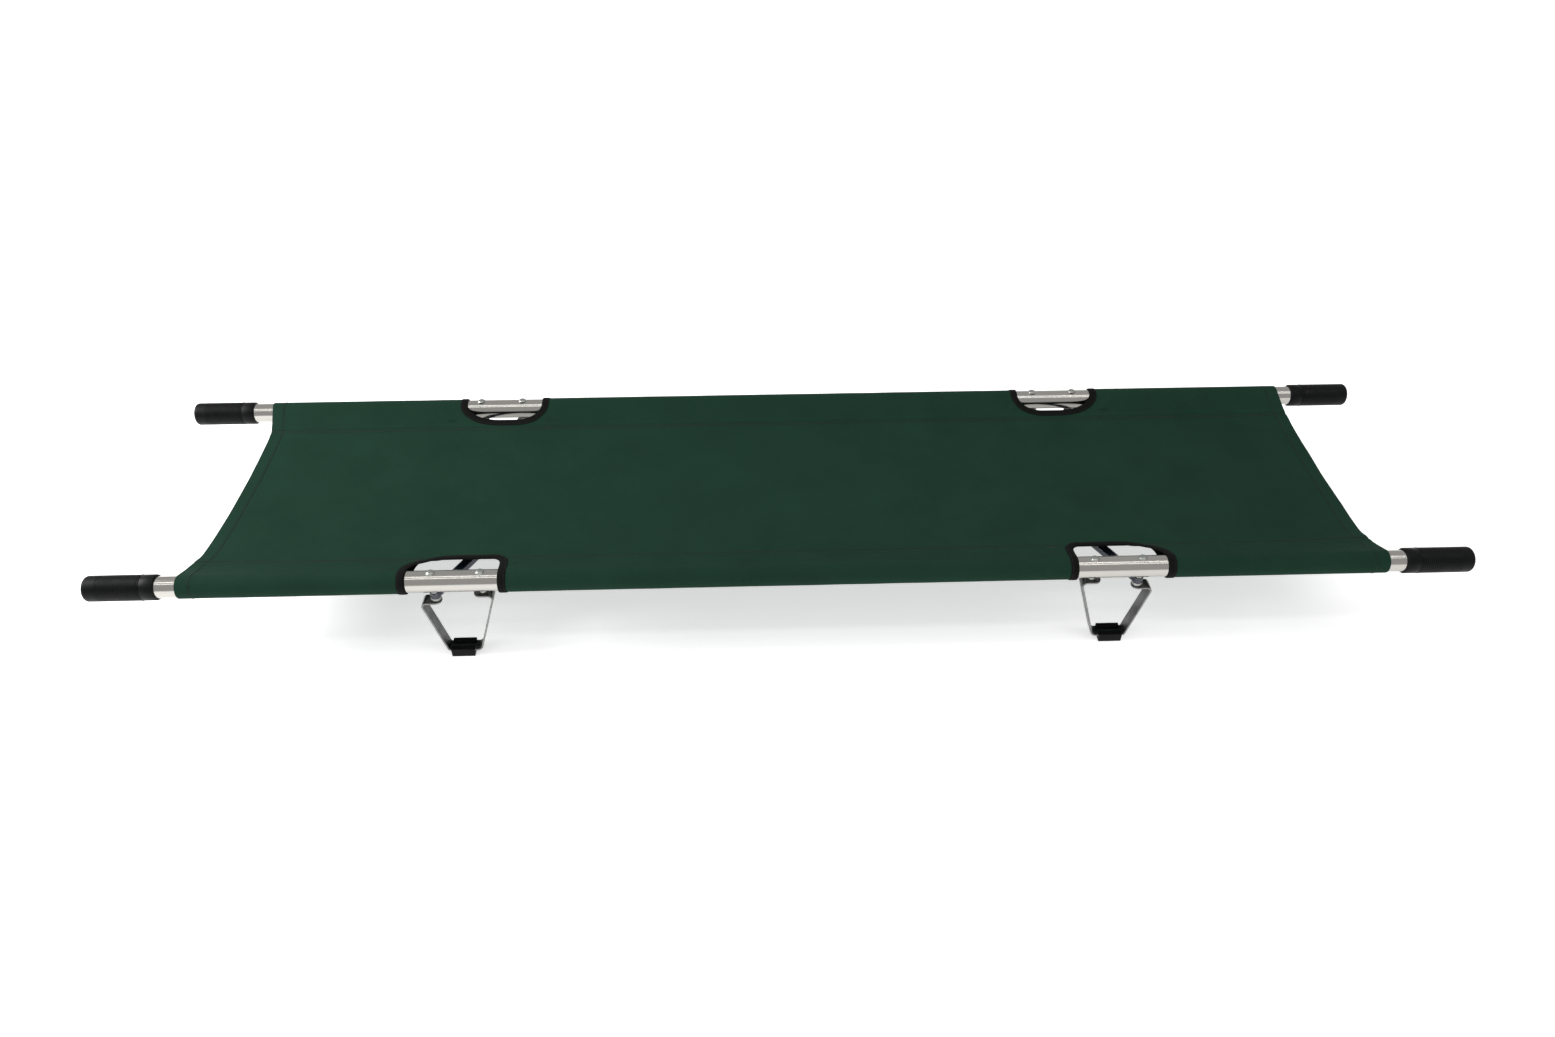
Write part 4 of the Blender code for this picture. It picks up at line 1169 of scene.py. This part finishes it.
def spots_along(path, pitch=STITCH_PITCH):
    """Evenly spaced spots on a path of (points, outward normals)."""
    points, normals = path
    run = np.concatenate([[0], np.cumsum(np.linalg.norm(np.diff(points, axis=0), axis=1))])
    found = []
    for place in np.arange(pitch / 2, run[-1], pitch):
        at = [np.interp(place, run, points[:, k]) for k in range(3)]
        ahead = [np.interp(min(place + 0.001, run[-1]), run, points[:, k]) for k in range(3)]
        back = [np.interp(max(place - 0.001, 0), run, points[:, k]) for k in range(3)]
        up = [np.interp(place, run, normals[:, k]) for k in range(3)]
        found.append((at, np.subtract(ahead, back), up))
    return found


def sleeve_path(side, x, length, lift):
    """Points just off the sleeve's cloth, with the outward normal at each."""
    points = on_sleeve(side, x, length, lift)
    raised = on_sleeve(side, x, length, lift + 0.001)
    return points, (raised - points) * 1000


def build_sleeve_stitches(side):
    """Two rows along the seam, broken by the near cut-outs, and one round each end's hem."""
    spots = []
    face = FABRIC / 2 + 0.00005
    spans = [(SEAM_STARTS, SEAM_STOPS)]
    if side == "near":
        inner, outer = CUTOUT_IN["near"] - 0.001, CUTOUT_OUT["near"] - 0.030
        spans = [(SEAM_STARTS, -outer), (-inner, inner), (outer, SEAM_STOPS)]
    for across in SEAM_ROWS:
        for start, stop in spans:
            x = np.arange(start, stop, 0.004)
            length = np.full_like(x, cloth_length(across))
            spots += spots_along(sleeve_path(side, x, length, face))
    for end, direction in ENDS:
        length = np.linspace(0.0005, float(cloth_length(0.060, True)), 160)
        reach = canvas_end(end, SIGN[side] * (HALF_SPACING - np.maximum(across_at(length), 0)))
        spots += spots_along(sleeve_path(side, direction * (reach - HEM), length, face + 0.0002))
    return stitch_row(f"seam_stitches_{side}", spots, SEAM_STITCH, GREEN_THREAD, BODY_OF[f"sleeve_{side}"])


def build_tape_stitches(side, end, direction):
    """A row near the tape's outer edge, all round the opening."""
    x, length, away = (np.concatenate([part, part[:1]]) for part in cutout_loop(side, direction))
    width = tape_width(side, away) - 0.0024
    at = np.clip(length + away[:, 1] * width, 0.0005, SLEEVE_CUT - 0.0005)
    path = sleeve_path(side, x + away[:, 0] * width, at, FABRIC / 2 + TAPE_THICK - 0.0001)
    return stitch_row(f"binding_stitches_{side}_{end}", spots_along(path, TAPE_STITCH_PITCH), TAPE_STITCH,
                      BLACK_THREAD, BODY_OF[f"edge_tape_{side}_{end}"])


def build_deck_stitches():
    """The hem's row across each end of the deck."""
    spots = []
    for end, direction in ENDS:
        y = np.linspace(-DECK_HALF, DECK_HALF, 120)
        x = direction * (canvas_end(end, y) - HEM)
        points = deck_surface(x, y, FABRIC / 2 + 0.0003)
        spots += spots_along((points, np.tile((0.0, 0.0, 1.0), (len(y), 1))))
    return stitch_row("hem_stitches", spots, HEM_STITCH, GREEN_THREAD, BODY_OF["deck"])


def build_bar_tacks(side):
    """Short dense tacks across the seam, on both sides of each cut-out."""
    spots = []
    face = FABRIC / 2 + 0.0001
    at_seam = cloth_length(np.array([SEAM_OFFSET]))
    for _, direction in ENDS:
        for place in (CUTOUT_OUT["near"] - 0.004, CUTOUT_IN["near"] - 0.024):
            for step in range(TACK_STITCHES):
                x = np.array([direction * (place + (step - TACK_STITCHES // 2) * TACK_PITCH)])
                points, normals = sleeve_path(side, x, at_seam, face)
                spots.append((points[0], (0.25, 1.0, 0.0), normals[0]))
    return stitch_row(f"bar_tacks_{side}", spots, TACK_STITCH, BLACK_THREAD, BODY_OF[f"sleeve_{side}"])


def build_hems():
    """The turned-under hem below each end of the deck."""
    steps = np.array([0.0003, 0.004, 0.010, 0.016, HEM + 0.001])
    below = -FABRIC - 0.00004
    hems = []
    for end, direction in ENDS:
        hem = deck_cloth(f"hem_{end}", lambda y: direction * (float(canvas_end(end, y)) - steps), below)
        close_up(hem)
        thicken(hem, FABRIC * 0.9)
        paint(hem, CANVAS)
        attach(hem, BODY_OF["deck"])
        hems.append(hem)
    return hems


def fold_with_cot(piece):
    """Give the piece a mesh of its own."""
    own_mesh(piece)


def build_canvas():
    deck = build_deck()
    sewn_on = [*build_hems(), build_deck_stitches()]
    for piece in (deck, *sewn_on):
        fold_with_cot(piece)
    for side, sign in SIDES:
        x, run, _ = cutout_loop(side, 1)
        sleeve = build_sleeve(side, sign)
        extras = [build_sleeve_stitches(side), build_bar_tacks(side)]
        for end, direction in ENDS:
            extras.append(build_tape(side, sign, end, direction))
            extras.append(build_tape_stitches(side, end, direction))


# ---------------------------------------------------------------- stage, lights, camera

def build_stage():
    deselect_all()
    bpy.ops.mesh.primitive_plane_add(size=60, location=(0, 0, 0))
    floor = named("floor")
    made, t, shader, where = new_finish("pale_floor", Roughness=0.9, Specular_IOR_Level=0.1,
                                        Emission_Color=(1, 1, 1, 1), Emission_Strength=0.58)
    shade = t.noise(where.outputs["Object"], 1.5, 2.0)
    t.fill(shader, {"Base Color": t.mix(shade, (0.90, 0.90, 0.90), (0.93, 0.93, 0.93))})
    paint(floor, made)


def softbox(name, place, aim, width, height, power):
    """A rectangular lamp of so many watts, its width along X where it is aimed at the same x."""
    deselect_all()
    bpy.ops.object.light_add(type="AREA", location=place)
    lamp = bpy.context.active_object
    lamp.name = name
    lamp.data.shape = "RECTANGLE"
    lamp.data.size = width
    lamp.data.size_y = height
    lamp.data.energy = power
    lamp.rotation_euler = (Vector(aim) - Vector(place)).to_track_quat("-Z", "Y").to_euler()


def build_lights():
    world = bpy.data.worlds.new("studio")
    bpy.context.scene.world = world
    world.use_nodes = True
    back = world.node_tree.nodes["Background"]
    back.inputs["Color"].default_value = (1.0, 1.0, 1.0, 1)
    back.inputs["Strength"].default_value = 0.55
    softbox("overhead_box", (0, -0.32, 3.0), (0, -0.20, 0), 5.5, 0.28, 15)
    softbox("front_box", (0, -1.25, 3.0), (0, -0.20, 0), 5.5, 0.28, 13)
    softbox("left_box", (-3.0, 0.2, 1.9), (-0.3, 0, 0), 1.8, 1.2, 85)


def build_camera():
    """Standing in front of the cot's middle, looking down at it."""
    data = bpy.data.cameras.new("camera")
    camera = bpy.data.objects.new("camera", data)
    bpy.context.scene.collection.objects.link(camera)
    data.sensor_width = CAMERA_SENSOR
    data.lens = CAMERA_LENS
    yaw, pitch, roll = (math.radians(angle) for angle in CAMERA_ANGLES)
    turn = (Matrix.Rotation(-yaw, 4, "Z") @ Matrix.Rotation(math.pi / 2 - pitch, 4, "X")
            @ Matrix.Rotation(roll, 4, "Z"))
    camera.matrix_world = Matrix.Translation(CAMERA_PLACE) @ turn
    bpy.context.scene.camera = camera
    bpy.context.scene.view_settings.view_transform = "Standard"


build_camera()
build_stage()
build_lights()
build_poles()
build_grips()
build_fasteners()
build_feet()
build_arms()
build_canvas()
deselect_all()
